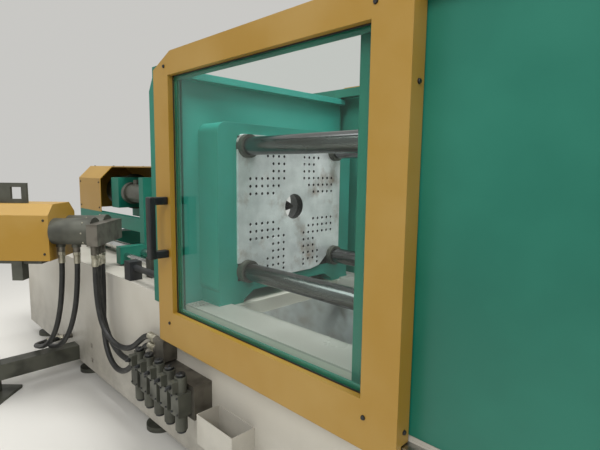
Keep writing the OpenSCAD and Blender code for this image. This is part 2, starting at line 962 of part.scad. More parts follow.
module feed_block() {
  color(steel) difference() {
    block([feed_x0, -feed_w / 2, feed_low], [feed_x1, feed_w / 2, feed_top]);
    rod_x(feed_x0 - eps, feed_x1 + eps, barrel_d + 2 * seat_gap);
    rod_z(0, feed_top + eps, throat_d, feed_x);
  }
}

module barrel() {
  color(steel) difference() {
    union() {
      rod_x(feed_x0, barrel_x1, barrel_d);
      rod_x(barrel_x1 - barrel_head_len, barrel_x1, barrel_head_d);
    }
    rod_x(feed_x0 - eps, barrel_x1 + eps, screw_d + 2 * run_gap);
    rod_z(0, barrel_d, throat_d - throat_step, feed_x);
  }
}

module nozzle() {
  color(steel) difference() {
    union() {
      rod_x(barrel_x1, barrel_x1 + nozzle_len, nozzle_d);
      translate([barrel_x1 + nozzle_len, 0, 0]) rotate([0, 90, 0])
        cylinder(d1 = nozzle_d, d2 = nozzle_tip_d, h = nozzle_x1 - barrel_x1 - nozzle_len);
      translate([barrel_x1 + nozzle_hex_in, 0, 0]) rotate([0, 90, 0])
        cylinder(d = nozzle_hex_d, h = nozzle_hex_len, $fn = hex_sides);
    }
    rod_x(barrel_x1 - eps, nozzle_x1 - gate_len, melt_d);
    rod_x(nozzle_x1 - gate_len - eps, nozzle_x1 + eps, gate_d);
  }
}

module heater_bands() {
  color(steel) for (x = band_x) difference() {
    union() {
      rod_x(x - band_len, x, band_d);
      block([x - band_len + box_in, -box_w / 2, band_d / 2 - box_sink],
            [x - box_in, box_w / 2, band_d / 2 + box_h]);
    }
    rod_x(x - band_len - eps, x + eps, barrel_d + 2 * seat_gap);
  }
}

module injection_cylinders() {
  color(dark) for (s = [-1, 1]) difference() {
    union() {
      rod_x(inj_x0, front_x0, inj_cyl_d, s * inj_y);
      rod_x(inj_x0, inj_x0 + inj_flange_t, inj_cyl_d + inj_flange, s * inj_y);
      rod_x(front_x0 - inj_flange_t, front_x0, inj_cyl_d + inj_flange, s * inj_y);
      rod_z(inj_cyl_d / 2 - inj_port_sink, inj_cyl_d / 2 + inj_port_h, inj_port_d,
            inj_x0 + 2 * inj_flange_t, s * inj_y);
    }
    rod_x(inj_x0 - eps, front_x0 - inj_flange_t, inj_rod_d + 2 * run_gap, s * inj_y);
  }
}

// Outline of the hood in the YZ plane, inset by i
module hood_outline(i) {
  w = hood_w / 2 - i;
  c = hood_chamfer;
  top = hood_top - i;
  polygon([[-w, beam_top], [-w, top - c], [-w + c, top], [w - c, top], [w, top - c], [w, beam_top]]);
}

module injection_hood() {
  color(ochre) difference() {
    across(hood_x0, hood_open_x1) hood_outline(0);
    across(hood_x0 + hood_t, hood_open_x1 + eps) translate([0, -eps]) hood_outline(hood_t);
    block([hood_x0 - eps, -hood_w, beam_top - 2 * eps], [hood_x1, hood_w, beam_top]);
    block([hood_x1, -hood_w, beam_top - eps],
          [hood_open_x1 + eps, -hood_w / 2 + hood_chamfer, hood_top + eps]);
  }
}

module hopper() {
  r = hopper_d / 2;
  w = hopper_wall;
  t = throat_d / 2;
  color(steel) {
    difference() {
      block([feed_x0, -feed_w / 2, feed_top], [feed_x1, feed_w / 2, neck_z]);
      rod_z(feed_top - eps, neck_z + eps, throat_d, feed_x);
      block([feed_x - gate_w / 2 - seat_gap, -feed_w / 2 - eps, gate_z - seat_gap],
            [feed_x + gate_w / 2 + seat_gap, gate_slot_end, gate_z + gate_t + seat_gap]);
    }
    translate([feed_x, 0, 0]) rotate_extrude()
      polygon([[t, neck_z - eps], [t + neck_rim, neck_z - eps], [t + neck_rim, neck_z + neck_rim_t],
               [t + w, neck_z + neck_rim_t], [r, cone_top], [r, hopper_top], [r - w, hopper_top],
               [r - w, cone_top], [t, neck_z + neck_rim_t]]);
    for (s = [-1, 1]) difference() {
      block([feed_x + s * ear_x - ear_t / 2, r - ear_in, hopper_top - ear_h],
            [feed_x + s * ear_x + ear_t / 2, lid_hinge_y + ear_in, hopper_top]);
      rod_z(hopper_top - ear_h - eps, hopper_top + eps, 2 * (r - w), feed_x);
    }
    rod_x(feed_x - ear_x - ear_t, feed_x + ear_x + ear_t, lid_pin_d, lid_hinge_y, hopper_top - lid_pin_drop);
  }
}

module hopper_lid() {
  r = hopper_d / 2;
  high = hopper_top + lid_t;
  pin_z = hopper_top - lid_pin_drop;
  color(steel) difference() {
    union() {
      rod_z(hopper_top + seat_gap, high, 2 * (r + lid_rim), feed_x);
      block([feed_x - lid_arm, r - lid_arm_in, hopper_top + lid_rim], [feed_x + lid_arm, lid_hinge_y, high]);
      rod_x(feed_x - lid_arm, feed_x + lid_arm, lid_pin_d + lid_boss, lid_hinge_y, pin_z);
      block([feed_x - lid_arm, lid_hinge_y - lid_boss_w, pin_z],
            [feed_x + lid_arm, lid_hinge_y + lid_boss_w, high]);
      rod_y(-r - lid_grip_out, -r + lid_grip_in, lid_grip_d, feed_x, high);
    }
    rod_x(feed_x - lid_arm - eps, feed_x + lid_arm + eps, lid_pin_d + 2 * run_gap, lid_hinge_y, pin_z);
  }
}

module hopper_gate() {
  color(steel) union() {
    block([feed_x - gate_w / 2, -feed_w / 2 - gate_out, gate_z],
          [feed_x + gate_w / 2, gate_slot_end - eps, gate_z + gate_t]);
    translate([feed_x - gate_grip[0] / 2, -feed_w / 2 - gate_out - gate_grip[1], gate_z - gate_grip_low])
      cube(gate_grip);
  }
}

module crosshead() {
  color(green) {
    difference() {
      block([cross_x0, -cross_w / 2, -cross_h / 2], [cross_x1, cross_w / 2, cross_h / 2]);
      rod_x(cross_x0 - eps, cross_x1 + eps, hub_d + 2 * run_gap);
    }
    for (s = [-1, 1]) rod_x(cross_x1 - eps, front_x0 - inj_rod_rest, inj_rod_d, s * inj_y);
  }
}

module screw_motor() {
  color(dark) difference() {
    union() {
      rod_x(motor_x0, cross_x0, motor_d);
      rod_x(cross_x0 - motor_flange, cross_x0, motor_d + motor_flange);
      rod_x(motor_x0 - motor_cap_len, motor_x0, motor_cap_d);
    }
    rod_x(cross_x0 - hub_len - hub_room, cross_x0 + eps, hub_d + 2 * run_gap);
  }
}

module screw() {
  end = barrel_x1 - tip_in;
  color(steel) {
    rod_x(cross_x0 - hub_len, cross_x1, hub_d);
    rod_x(cross_x1 - eps, feed_x0, shank_d);
    rod_x(feed_x0 - eps, end, core_d);
    for (x = [feed_x0 + flight_in : screw_d : end - flight_t])
      rod_x(x, x + flight_t, screw_d);
    translate([end - eps, 0, 0]) rotate([0, 90, 0]) cylinder(d1 = core_d, d2 = tip_d, h = tip_len);
  }
}

// Moving half of the clamp
module moving_platen() {
  s = spacer_w / 2;
  inner = s - spacer_wall;
  color(green) difference() {
    union() {
      translate([moving_x0, 0, 0]) mirror([1, 0, 0]) platen_body(moving_t);
      block([moving_x1 - eps, -s, -s], [spacer_x1, s, s]);
    }
    block([moving_x1, -inner, -s - eps], [spacer_x1 - spacer_back_t, inner, s + eps]);
    each_tie() rod_x(moving_x0 - eps, moving_x1 + eps, tie_d + 2 * bush_wall);
    translate([moving_x0, 0, 0]) mirror([1, 0, 0]) bolt_grid();
    for (y = [-ejector_pin_y, 0, ejector_pin_y])
      rod_x(moving_x0 - eps, moving_x1 + eps, ejector_pin_d + 2 * run_gap, y);
    rod_x(moving_x1, spacer_x1 + eps, ejector_rod_d + 2 * run_gap);
  }
}

module guide_bushes() {
  color(bronze) each_tie() difference() {
    union() {
      rod_x(moving_x0 + bush_in, moving_x1, tie_d + 2 * bush_wall - 2 * seat_gap);
      rod_x(moving_x1, moving_x1 + bush_flange, bush_flange_d);
    }
    rod_x(moving_x0 - eps, moving_x1 + bush_flange + eps, tie_d + 2 * run_gap);
  }
}

module clamp_ram() {
  color(steel) difference() {
    rod_x(spacer_x1, ram_x1, ram_d);
    rod_x(spacer_x1 - eps, spacer_x1 + ejector_bore_in, ejector_rod_d + 2 * run_gap);
  }
}

module ejector_plate() {
  color(steel) {
    block([ejector_x0, -ejector_pin_y - ejector_edge, -ejector_h / 2],
          [ejector_x1, ejector_pin_y + ejector_edge, ejector_h / 2]);
    rod_x(ejector_x1 - eps, spacer_x1 + ejector_rod_in, ejector_rod_d);
    for (y = [-ejector_pin_y, 0, ejector_pin_y])
      rod_x(moving_x0 + ejector_pin_back, ejector_x0 + eps, ejector_pin_d, y);
  }
}

// Outline of a door, inset by i
module door_outline(i) {
  c = door_chamfer;
  polygon([[door_x0 + i, -door_drop + i], [door_x1 - i, -door_drop + i], [door_x1 - i, door_top - i],
           [door_x0 + c[0] + i / 2, door_top - i], [door_x0 + i, door_top - c[1] - i]]);
}

// Outline of the window opening beside a stile, grown by i
module window_outline(stile, i) {
  x0 = door_x0 + stile;
  translate([x0 - i, win_z0 - i]) square([win_x1 - x0 + 2 * i, win_z1 - win_z0 + 2 * i]);
}

module door_frame(stile) {
  slot_in = -rail_out - rail_slot;
  difference() {
    union() {
      difference() {
        along(-door_y1, -door_y0) door_outline(0);
        along(-door_y1 + door_wall, -door_y0 + eps) door_outline(door_wall);
      }
      along(-door_y1 + door_wall - eps, -door_y0) difference() {
        window_outline(stile, door_wall);
        window_outline(stile, 0);
      }
      for (x = runner_x) {
        block([x, -door_y1 + door_wall - eps, low_rail_z + rail_t + seat_gap],
              [x + runner_w, -door_y0 - runner_inset, low_rail_z + rail_t + runner_h]);
        block([x, -door_y1 + door_wall - eps, top_rail_z + rail_t + seat_gap],
              [x + runner_w, -door_y0 - runner_inset, door_top - door_wall + eps]);
      }
    }
    along(-door_y1 - eps, -door_y0 + eps) window_outline(stile, 0);
    block([door_x0 - eps, slot_in, low_rail_z - rail_slot],
          [door_x0 + door_wall + eps, -door_y0 + eps, low_rail_z + rail_t + rail_slot]);
    block([door_x1 - door_wall - eps, slot_in, low_rail_z - rail_slot],
          [door_x1 + eps, -door_y0 + eps, low_rail_z + rail_t + rail_slot]);
    block([door_x0 - eps, slot_in, top_rail_z - rail_slot],
          [door_x0 + rail_notch, -door_y0 + eps, top_rail_z + rail_t + rail_slot]);
    block([door_x1 - door_wall - eps, slot_in, top_rail_z - rail_slot],
          [door_x1 + eps, -door_y0 + eps, top_rail_z + rail_t + rail_slot]);
  }
}

module door_window(stile) {
  along(-door_y1 + pane_in, -door_y1 + pane_in + pane_t) window_outline(stile, 0);
}

module door_handle() {
  s = handle_s;
  y0 = -door_y1 - handle_reach;
  difference() {
    block([handle_x - s / 2, y0, handle_z0], [handle_x + s / 2, -door_y1, handle_z1]);
    block([handle_x - s, y0 + s, handle_z0 + s], [handle_x + s, -door_y1 + eps, handle_z1 - s]);
  }
}

module near_door_frame() {
  color(ochre) door_frame(stile_w);
}

module near_door_window() {
  color(clear, 0.4) door_window(stile_w);
}

module near_door_handle() {
  color(black) door_handle();
}

module far_door_frame() {
  color(ochre) mirror([0, 1, 0]) door_frame(far_stile_w);
}

module far_door_window() {
  color(clear, 0.4) mirror([0, 1, 0]) door_window(far_stile_w);
}

module far_door_handle() {
  color(black) mirror([0, 1, 0]) door_handle();
}

// Control panel
module panel_arm() {
  color(dark) {
    for (z = [panel_z0 - panel_lug_t - panel_lug_gap, panel_z1 + panel_lug_gap])
      block([panel_pin_x - panel_lug_in, guard_out, z],
            [panel_pin_x + panel_lug_out, panel_pin_y + panel_lug_in, z + panel_lug_t]);
    block([panel_pin_x + panel_strap_x, guard_out, panel_z0 - panel_lug_t - panel_lug_gap],
          [panel_pin_x + panel_lug_out, guard_out + panel_strap_t, panel_z1 + panel_lug_gap + panel_lug_t]);
    rod_z(panel_z0 - panel_lug_t, panel_z1 + panel_lug_t, panel_pin_d, panel_pin_x, panel_pin_y);
  }
}

module control_panel() {
  y1 = panel_y0 + panel_t;
  color(cream) difference() {
    union() {
      translate([panel_x0, 0, 0]) rotate([90, 0, 90]) linear_extrude(panel_x1 - panel_x0)
        polygon([[panel_y0, panel_z0], [y1 + desk_out, panel_z0], [y1 + desk_out, panel_z0 + desk_h],
                 [y1, panel_z0 + desk_top], [y1, panel_z1], [panel_y0, panel_z1]]);
      rod_z(panel_z0, panel_z1, panel_pin_d + panel_hub, panel_pin_x, panel_pin_y);
      block([panel_x1 - eps, panel_pin_y - panel_strap_t, panel_z0],
            [panel_pin_x, panel_pin_y + panel_strap_t, panel_z1]);
    }
    rod_z(panel_z0 - eps, panel_z1 + eps, panel_pin_d + 2 * run_gap, panel_pin_x, panel_pin_y);
    block([panel_x0 + screen_in[0], y1 - screen_deep, panel_z0 + screen_z[0]],
          [panel_x1 - screen_in[1], y1 + eps, panel_z1 - screen_z[1]]);
    rod_y(y1 - stop_hole, y1 + eps, stop_stem_d + 2 * run_gap, stop_x, stop_z);
  }
}

module emergency_stop() {
  y1 = panel_y0 + panel_t;
  color(red) {
    rod_y(y1 - stop_sink, y1 + stop_neck, stop_stem_d, stop_x, stop_z);
    rod_y(y1 + stop_cap, y1 + stop_cap + stop_neck, stop_d, stop_x, stop_z);
  }
}

module main_switch() {
  color(red) {
    rod_y(half_w - switch_sink, half_w + switch_knob[1], switch_pin_d, switch_x, switch_z);
    rod_y(half_w + switch_knob[0], half_w + switch_knob[1], switch_d, switch_x, switch_z);
    translate([switch_x - switch_bar[0] / 2, half_w + switch_knob[1] - eps, switch_z - switch_bar[2] / 2])
      cube(switch_bar);
  }
}

// Side unit
module at_side() {
  translate(side_at) rotate([0, 0, side_angle]) children();
}

module side_console() {
  color(dark) {
    at_side() {
      block([-stand_x - stand_s / 2, -side_w / 2 + console_in, side_z0 - console_t],
            [console_x1, side_w / 2 - console_in, side_z0]);
      block([-stand_x - stand_s / 2, -stand_s / 2, floor_z],
            [-stand_x + stand_s / 2, stand_s / 2, side_z0 - console_t + eps]);
      block([-stand_x - stand_foot / 2, -stand_foot / 2, floor_z],
            [-stand_x + stand_foot / 2, stand_foot / 2, floor_z + console_t]);
      block(lock_foot[0], lock_foot[1]);
      side_plate();
    }
    block([beam_x - beam_s / 2, beam_y, beam_at - beam_s], [beam_x + beam_s / 2, -half_w, beam_at]);
  }
}

// Plate with a hand hole on top of the side unit
module side_plate() {
  along(plate_y, plate_y + plate_t) difference() {
    translate([plate_x[0], side_z1]) square([plate_x[1] - plate_x[0], plate_h]);
    translate([plate_hole[0], side_z1 + plate_rim])
      square([plate_hole[1] - plate_hole[0], plate_h - 2 * plate_rim]);
  }
}

module side_hood() {
  w = side_w / 2;
  color(ochre) at_side() translate([-side_len, 0, 0]) rotate([90, 0, 90]) linear_extrude(side_len)
    polygon([[-w, side_z0], [w, side_z0], [w, side_z1 - side_chamfer], [w - side_chamfer, side_z1],
             [-w + side_chamfer, side_z1], [-w, side_z1 - side_chamfer]]);
}

module side_cylinders() {
  color(dark) {
    at_side() for (s = [-1, 1]) {
      rod_x(0, side_cyl_len, side_cyl_d, s * side_cyl_y, side_cyl_z);
      rod_x(side_cyl_len - side_cyl_end, side_cyl_len, side_cyl_d + side_cyl_rim,
            s * side_cyl_y, side_cyl_z);
    }
    for (r = [route_d, route_e])
      rod_z(boss_z, side_cyl_z, boss_d, r[0][0], r[0][1]);
  }
}

module side_ports() {
  color(steel) {
    at_side() block([side_cyl_len, -side_w / 2 - port_block[1], port_z],
                    [side_cyl_len + port_block[0], side_w / 2, port_block[2]]);
    for (r = [route_a, route_b, route_c])
      rod_z(r[0][2], port_z + eps, port_d, r[0][0], r[0][1]);
    for (r = [route_d, route_e])
      rod_z(r[0][2], boss_z, port_d, r[0][0], r[0][1]);
  }
}

// Hoses
function unit(v) = v / norm(v);
function heading(p, i) = unit(p[min(i + 1, len(p) - 1)] - p[max(i - 1, 0)]);
function ring(p, i, r, up, n) =
  let (t = heading(p, i), a = unit(cross(t, up)), b = cross(t, a))
  [for (k = [0:n - 1]) p[i] + r * (cos(360 * k / n) * a + sin(360 * k / n) * b)];

// A tube swept along a route
module hose(route, up, d) {
  n = 10;
  m = len(route);
  points = [for (i = [0:m - 1]) each ring(route, i, d / 2, up, n)];
  sides = [for (i = [0:m - 2], k = [0:n - 1])
    [i * n + k, i * n + (k + 1) % n, (i + 1) * n + (k + 1) % n, (i + 1) * n + k]];
  first = [for (k = [n - 1:-1:0]) k];
  last = [for (k = [0:n - 1]) (m - 1) * n + k];
  polyhedron(points = points, faces = concat(sides, [first], [last]), convexity = 6);
}

module hose_a() {
  color(black) hose(route_a, [0, 1, 0], hose_d);
}

module hose_b() {
  color(black) hose(route_b, [0, 1, 0], hose_d);
}

module hose_c() {
  color(black) hose(route_c, [0, 1, 0], hose_d);
}

module hose_d_left() {
  color(black) hose(route_d, [1, 1, -1], hose_d);
}

module hose_e_left() {
  color(black) hose(route_e, [1, 1, -1], hose_d);
}

base_frame();
levelling_feet();
deck_sills();
drop_chute();
fixed_platen();
tie_bars();
tie_bar_nuts();
front_bulkhead();
side_guards();
guide_beams();
door_rails();
rear_platen();
clamp_cylinder();
near_clamp_cover();
far_clamp_cover();
clamp_roof();
valve_block();
solenoid_valves();
drip_tray();
guide_bars();
bar_stands();
pull_cylinders();
panel_arm();
side_console();
side_hood();
side_cylinders();
side_ports();
hose_a();
hose_b();
hose_c();
hose_d_left();
hose_e_left();
moving_platen();
guide_bushes();
clamp_ram();
ejector_plate();
near_door_frame();
near_door_window();
near_door_handle();
far_door_frame();
far_door_window();
far_door_handle();
carriage_frame();
pull_rods();
barrel();
nozzle();
heater_bands();
feed_block();
injection_cylinders();
injection_hood();
hopper();
hopper_lid();
hopper_gate();
crosshead();
screw_motor();
screw();
control_panel();
emergency_stop();
main_switch();
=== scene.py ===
"""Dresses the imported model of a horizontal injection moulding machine."""

from __future__ import annotations

import logging
import math
from abc import ABC, abstractmethod
from dataclasses import dataclass, replace
from enum import Enum
from typing import Sequence

import bmesh
import bpy
from mathutils import Matrix, Vector


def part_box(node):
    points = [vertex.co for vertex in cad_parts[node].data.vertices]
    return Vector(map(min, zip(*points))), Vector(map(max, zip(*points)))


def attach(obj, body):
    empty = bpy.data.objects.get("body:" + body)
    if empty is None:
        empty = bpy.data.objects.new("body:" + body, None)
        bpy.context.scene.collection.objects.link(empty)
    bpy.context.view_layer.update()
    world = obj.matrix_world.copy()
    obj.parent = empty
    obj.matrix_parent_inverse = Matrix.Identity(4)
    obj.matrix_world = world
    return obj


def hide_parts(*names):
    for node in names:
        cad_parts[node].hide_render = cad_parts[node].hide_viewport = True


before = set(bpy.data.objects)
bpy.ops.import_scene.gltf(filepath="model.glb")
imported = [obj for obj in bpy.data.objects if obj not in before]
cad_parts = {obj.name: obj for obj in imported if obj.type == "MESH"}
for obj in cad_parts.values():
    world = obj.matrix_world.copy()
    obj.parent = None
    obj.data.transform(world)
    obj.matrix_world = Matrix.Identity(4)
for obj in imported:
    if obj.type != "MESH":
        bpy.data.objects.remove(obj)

LOG = logging.getLogger("moulding_machine")
Point = tuple[float, float, float]
Spot = tuple[Point, Point]
# Share of a length at 45 degrees that lies along each axis.
DIAGONAL = math.sqrt(0.5)
# Brightness at which the surroundings are seen, also where the floor fades into them.
GLOW = 0.66
# The range that most values of a pattern lie in.
MIDDLE = {"From Min": 0.3, "From Max": 0.7}


class Tone(Enum):
    """Colours of the machine's paints, metals and plastics, as sRGB codes, some of them painted light and
    shade.
    """

    OCHRE = "#a37d2a"
    OCHRE_DUSTY = "#ae8d4a"
    GREEN = "#0a6654"
    GREEN_FADED = "#25806b"
    GREEN_DOOR_BACK = "#3f9884"
    # Lighter copies of the green enamel, painted light for the inside of the guards, with its paler patches.
    GREEN_LIT_INSIDE = "#36998b"
    GREEN_LIT_INSIDE_PALE = "#56aca0"
    # Lighter copy of the green enamel, painted light for the platens' castings.
    GREEN_IRON_LIT = "#2b9183"
    GREY = "#c9c5ba"
    GREY_DUSTY = "#b3ada0"
    GREY_DECK = "#aeaba4"
    GREY_RUBBED = "#9b9890"
    STEEL = "#b9bbbc"
    STEEL_SMEARED = "#86837a"
    IRON_BRIGHT = "#efeff1"
    IRON_DULL = "#a5a9aa"
    RUST = "#8a6d52"
    BURNT = "#3c3733"
    BURNT_DARK = "#241f1c"
    CHROME = "#c9cac9"
    CHROME_OILED = "#77766f"
    BAR = "#7c7d7e"
    BAR_OIL = "#33291c"
    GUNMETAL = "#54554c"
    GUNMETAL_DARK = "#33332d"
    CAST_BLACK = "#26282a"
    CAST_DUSTY = "#45443f"
    BRONZE = "#a9783c"
    BRONZE_WORN = "#6f5431"
    ZINC = "#b4b0a0"
    ZINC_DULL = "#7d7866"
    BLOCK = "#77736a"
    BLOCK_OIL = "#3b3830"
    RUBBER = "#141514"
    RUBBER_DUSTY = "#3a3a36"
    PANE = "#f6fbf9"
    PANE_LIGHT = "#f3faf7"
    NYLON = "#16181a"
    ABS_PALE = "#cfcabc"
    ACRYLIC = "#0b1013"
    RED = "#b11f1c"
    DIRT = "#3a352c"
    # Painted shade in the gaps between sheets.
    SEAM = "#0d120f"
    # Painted shade inside holes and recesses.
    HOLE = "#161614"
    FLOOR = "#dcdad4"
    SURROUNDINGS = "#f1f0ec"


class Side(Enum):
    """A side of the machine, with the sign of its y."""

    NEAR = -1
    FAR = 1

    @property
    def label(self) -> str:
        """The word that the names of its pieces start with."""
        return self.name.lower()

    @property
    def outward(self) -> Point:
        """The direction that its skin faces."""
        return (0.0, float(self.value), 0.0)

    def out(self, low: float, high: float) -> tuple[float, float]:
        """Turn two distances from the machine's middle into a sorted pair of y values.

        Args:
            low: The smaller distance in metres.
            high: The larger distance in metres.

        Returns:
            The lower and the higher y.
        """
        ends = sorted((self.value * low, self.value * high))
        return ends[0], ends[1]


def linear(code: str) -> tuple[float, float, float, float]:
    """Turn an sRGB hex code into a linear colour.

    Args:
        code: The colour as #rrggbb.

    Returns:
        Red, green, blue and alpha, linear.
    """
    parts = [int(code[i : i + 2], 16) / 255 for i in (1, 3, 5)]
    bright = [p / 12.92 if p <= 0.04045 else ((p + 0.055) / 1.055) ** 2.4 for p in parts]
    return (bright[0], bright[1], bright[2], 1.0)


def add(
    tree: bpy.types.NodeTree, kind: str, links: dict[str | int, object] | None = None, **settings: object
) -> bpy.types.Node:
    """Add a node with its settings and links.

    Args:
        tree: The tree that gets the node.
        kind: Blender's name of the node's type.
        links: Name or number of an input, with what feeds it: a node, whose first output in use
            is taken, an output, a tone or a plain value.
        **settings: Properties of the node.

    Returns:
        The new node.
    """
    made = tree.nodes.new(kind)
    for key, value in settings.items():
        setattr(made, key, value)
    for key, value in (links or {}).items():
        named = [s for s in made.inputs if s.enabled and s.name == key]
        socket = named[0] if named else made.inputs[key]
        if isinstance(value, bpy.types.Node):
            value = next(s for s in value.outputs if s.enabled)
        if isinstance(value, bpy.types.NodeSocket):
            tree.links.new(value, socket)
        else:
            socket.default_value = linear(value.value) if isinstance(value, Tone) else value
    return made


def inside_box(
    tree: bpy.types.NodeTree, place: bpy.types.NodeSocket, low: Point, high: Point
) -> bpy.types.Node:
    """Tell whether a place lies in a box.

    Args:
        tree: The material's tree.
        place: Coordinates in metres.
        low: Lowest corner of the box.
        high: Highest corner of the box.

    Returns:
        The node that gives 1 inside the box and 0 outside it.
    """
    axes = add(tree, "ShaderNodeSeparateXYZ", {"Vector": place})
    inner = 1.0
    for axis, start, end in zip(axes.outputs, low, high):
        middle, half = (start + end) / 2, (end - start) / 2
        near = add(tree, "ShaderNodeMath", {0: axis, 1: middle, 2: half}, operation="COMPARE")
        inner = add(tree, "ShaderNodeMath", {0: inner, 1: near}, operation="MULTIPLY")
    return inner


# Finishes


@dataclass(frozen=True)
class Finish(ABC):
    """What a surface is made of, and how that looks.

    Attributes:
        name: Name of the material.
        slot: The record's slot that it belongs to; not used.
        colour: Main colour.
        roughness: Main roughness, which a pattern spreads or wears.
        metallic: 1 for a bare metal and 0 for the rest.
    """

    name: str
    slot: str
    colour: Tone
    roughness: float = 0.4
    metallic: float = 0.0

    def make(self) -> bpy.types.Material:
        """Build the material the first time, and hand out the same one after that.

        Returns:
            The material.
        """
        made = bpy.data.materials.get(self.name)
        if made is None:
            made = bpy.data.materials.new(self.name)
            made.use_nodes = True
            tree = made.node_tree
            tree.nodes.clear()
            surface = self.paint(tree, add(tree, "ShaderNodeTexCoord").outputs["Object"])
            add(tree, "ShaderNodeOutputMaterial", {"Surface": surface})
        return made

    @abstractmethod
    def paint(self, tree: bpy.types.NodeTree, place: bpy.types.NodeSocket) -> bpy.types.Node:
        """Build the nodes of the surface.

        Args:
            tree: The material's tree.
            place: Coordinates in metres.

        Returns:
            The shader.
        """


@dataclass(frozen=True, kw_only=True)
class Enamel(Finish):
    """Sprayed enamel on steel sheet: satin, faintly pebbled, with dusty patches and soft edges.

    Attributes:
        worn: Colour where dust and light have paled or dirtied it.
        patch_mm: Size of a worn patch.
        pebble_mm: Width of the pebbles of the spray, drawn coarse enough to show.
        inside: Colour behind the plane |y| = inside_y, or none.
        inside_y: Where the inner colour starts, in metres from the machine's middle.
        inside_x: Span in x that the inner colour keeps to.
        inside_z: Span in z that the inner colour keeps to.
        seam_shade_x: Places of the vertical seams between sheets, in metres, where the shade in the gap is
            painted as a dark line.
        seam: Half the width of that painted shade in metres.
        splash_z: Height in metres under which dirt has gathered, or none.
        splash_reach: How far below that height the dirt is thickest.
        speck_mm: Size of a speck of the dirt.
        edge: Radius of the softened edges in metres.
    """

    worn: Tone
    patch_mm: float = 350.0
    pebble_mm: float = 5.0
    inside: Tone | None = None
    inside_y: float = 0.0
    inside_x: tuple[float, float] = (0.0, 0.0)
    inside_z: tuple[float, float] = (0.0, 0.0)
    seam_shade_x: tuple[float, ...] = ()
    seam: float = 0.0022
    splash_z: float | None = None
    splash_reach: float = 0.35
    speck_mm: float = 111.0
    edge: float = 0.003

    def paint(self, tree: bpy.types.NodeTree, place: bpy.types.NodeSocket) -> bpy.types.Node:
        """Build the nodes of the enamel.

        Args:
            tree: The material's tree.
            place: Coordinates in metres.

        Returns:
            The shader.
        """
        patch = {"Vector": place, "Scale": 1000 / self.patch_mm, "Detail": 6.0}
        patch = add(tree, "ShaderNodeTexNoise", patch)
        share = add(
            tree, "ShaderNodeMapRange", {"Value": patch, "From Min": 0.42, "From Max": 0.72, "To Max": 0.75}
        )
        colour = add(
            tree, "ShaderNodeMix", {"Factor": share, "A": self.colour, "B": self.worn}, data_type="RGBA"
        )
        for mask, tone in self.masks(tree, place):
            colour = add(tree, "ShaderNodeMix", {"Factor": mask, "A": colour, "B": tone}, data_type="RGBA")
        rough = {"To Min": self.roughness - 0.08, "To Max": self.roughness + 0.12}
        rough = add(tree, "ShaderNodeMapRange", {"Value": patch, **MIDDLE, **rough})
        pebbles = {"Vector": place, "Scale": 1000 / self.pebble_mm, "Detail": 1.0}
        pebbles = add(tree, "ShaderNodeTexNoise", pebbles)
        soft = add(tree, "ShaderNodeBevel", {"Radius": self.edge}, samples=4)
        relief = {"Height": pebbles, "Normal": soft, "Strength": 0.12, "Distance": 0.001}
        bump = add(tree, "ShaderNodeBump", relief)
        return add(
            tree, "ShaderNodeBsdfPrincipled", {"Base Color": colour, "Roughness": rough, "Normal": bump}
        )

    def masks(
        self, tree: bpy.types.NodeTree, place: bpy.types.NodeSocket
    ) -> list[tuple[bpy.types.Node, Tone]]:
        """Find where the lining, the dirt and the painted shade at the seams lie.

        Args:
            tree: The material's tree.
            place: Coordinates in metres.

        Returns:
            Pairs of a mask and the colour that it brings.
        """
        found = []
        if self.inside:
            low = (self.inside_x[0], -self.inside_y, self.inside_z[0])
            high = (self.inside_x[1], self.inside_y, self.inside_z[1])
            found.append((inside_box(tree, place, low, high), self.inside))
        axes = add(tree, "ShaderNodeSeparateXYZ", {"Vector": place}).outputs
        if self.splash_z is not None:
            span = {"From Min": self.splash_z - self.splash_reach, "From Max": self.splash_z}
            share = {"Value": axes["Z"], "To Min": 0.8, "To Max": 0.0, **span}
            share = add(tree, "ShaderNodeMapRange", share)
            grain = {"Vector": place, "Scale": 1000 / self.speck_mm, "Detail": 8.0, "Roughness": 0.7}
            speck = add(tree, "ShaderNodeTexNoise", grain)
            dirt = add(tree, "ShaderNodeMath", {0: speck, 1: share}, operation="MULTIPLY")
            found.append((dirt, Tone.DIRT))
        # Painted shade: a dark line along each seam, where the gap between two sheets lies in shadow.
        for x in self.seam_shade_x:
            seam_shade_mask = add(tree, "ShaderNodeMath", {0: axes["X"], 1: x, 2: self.seam}, operation="COMPARE")
            found.append((seam_shade_mask, Tone.SEAM))
        return found


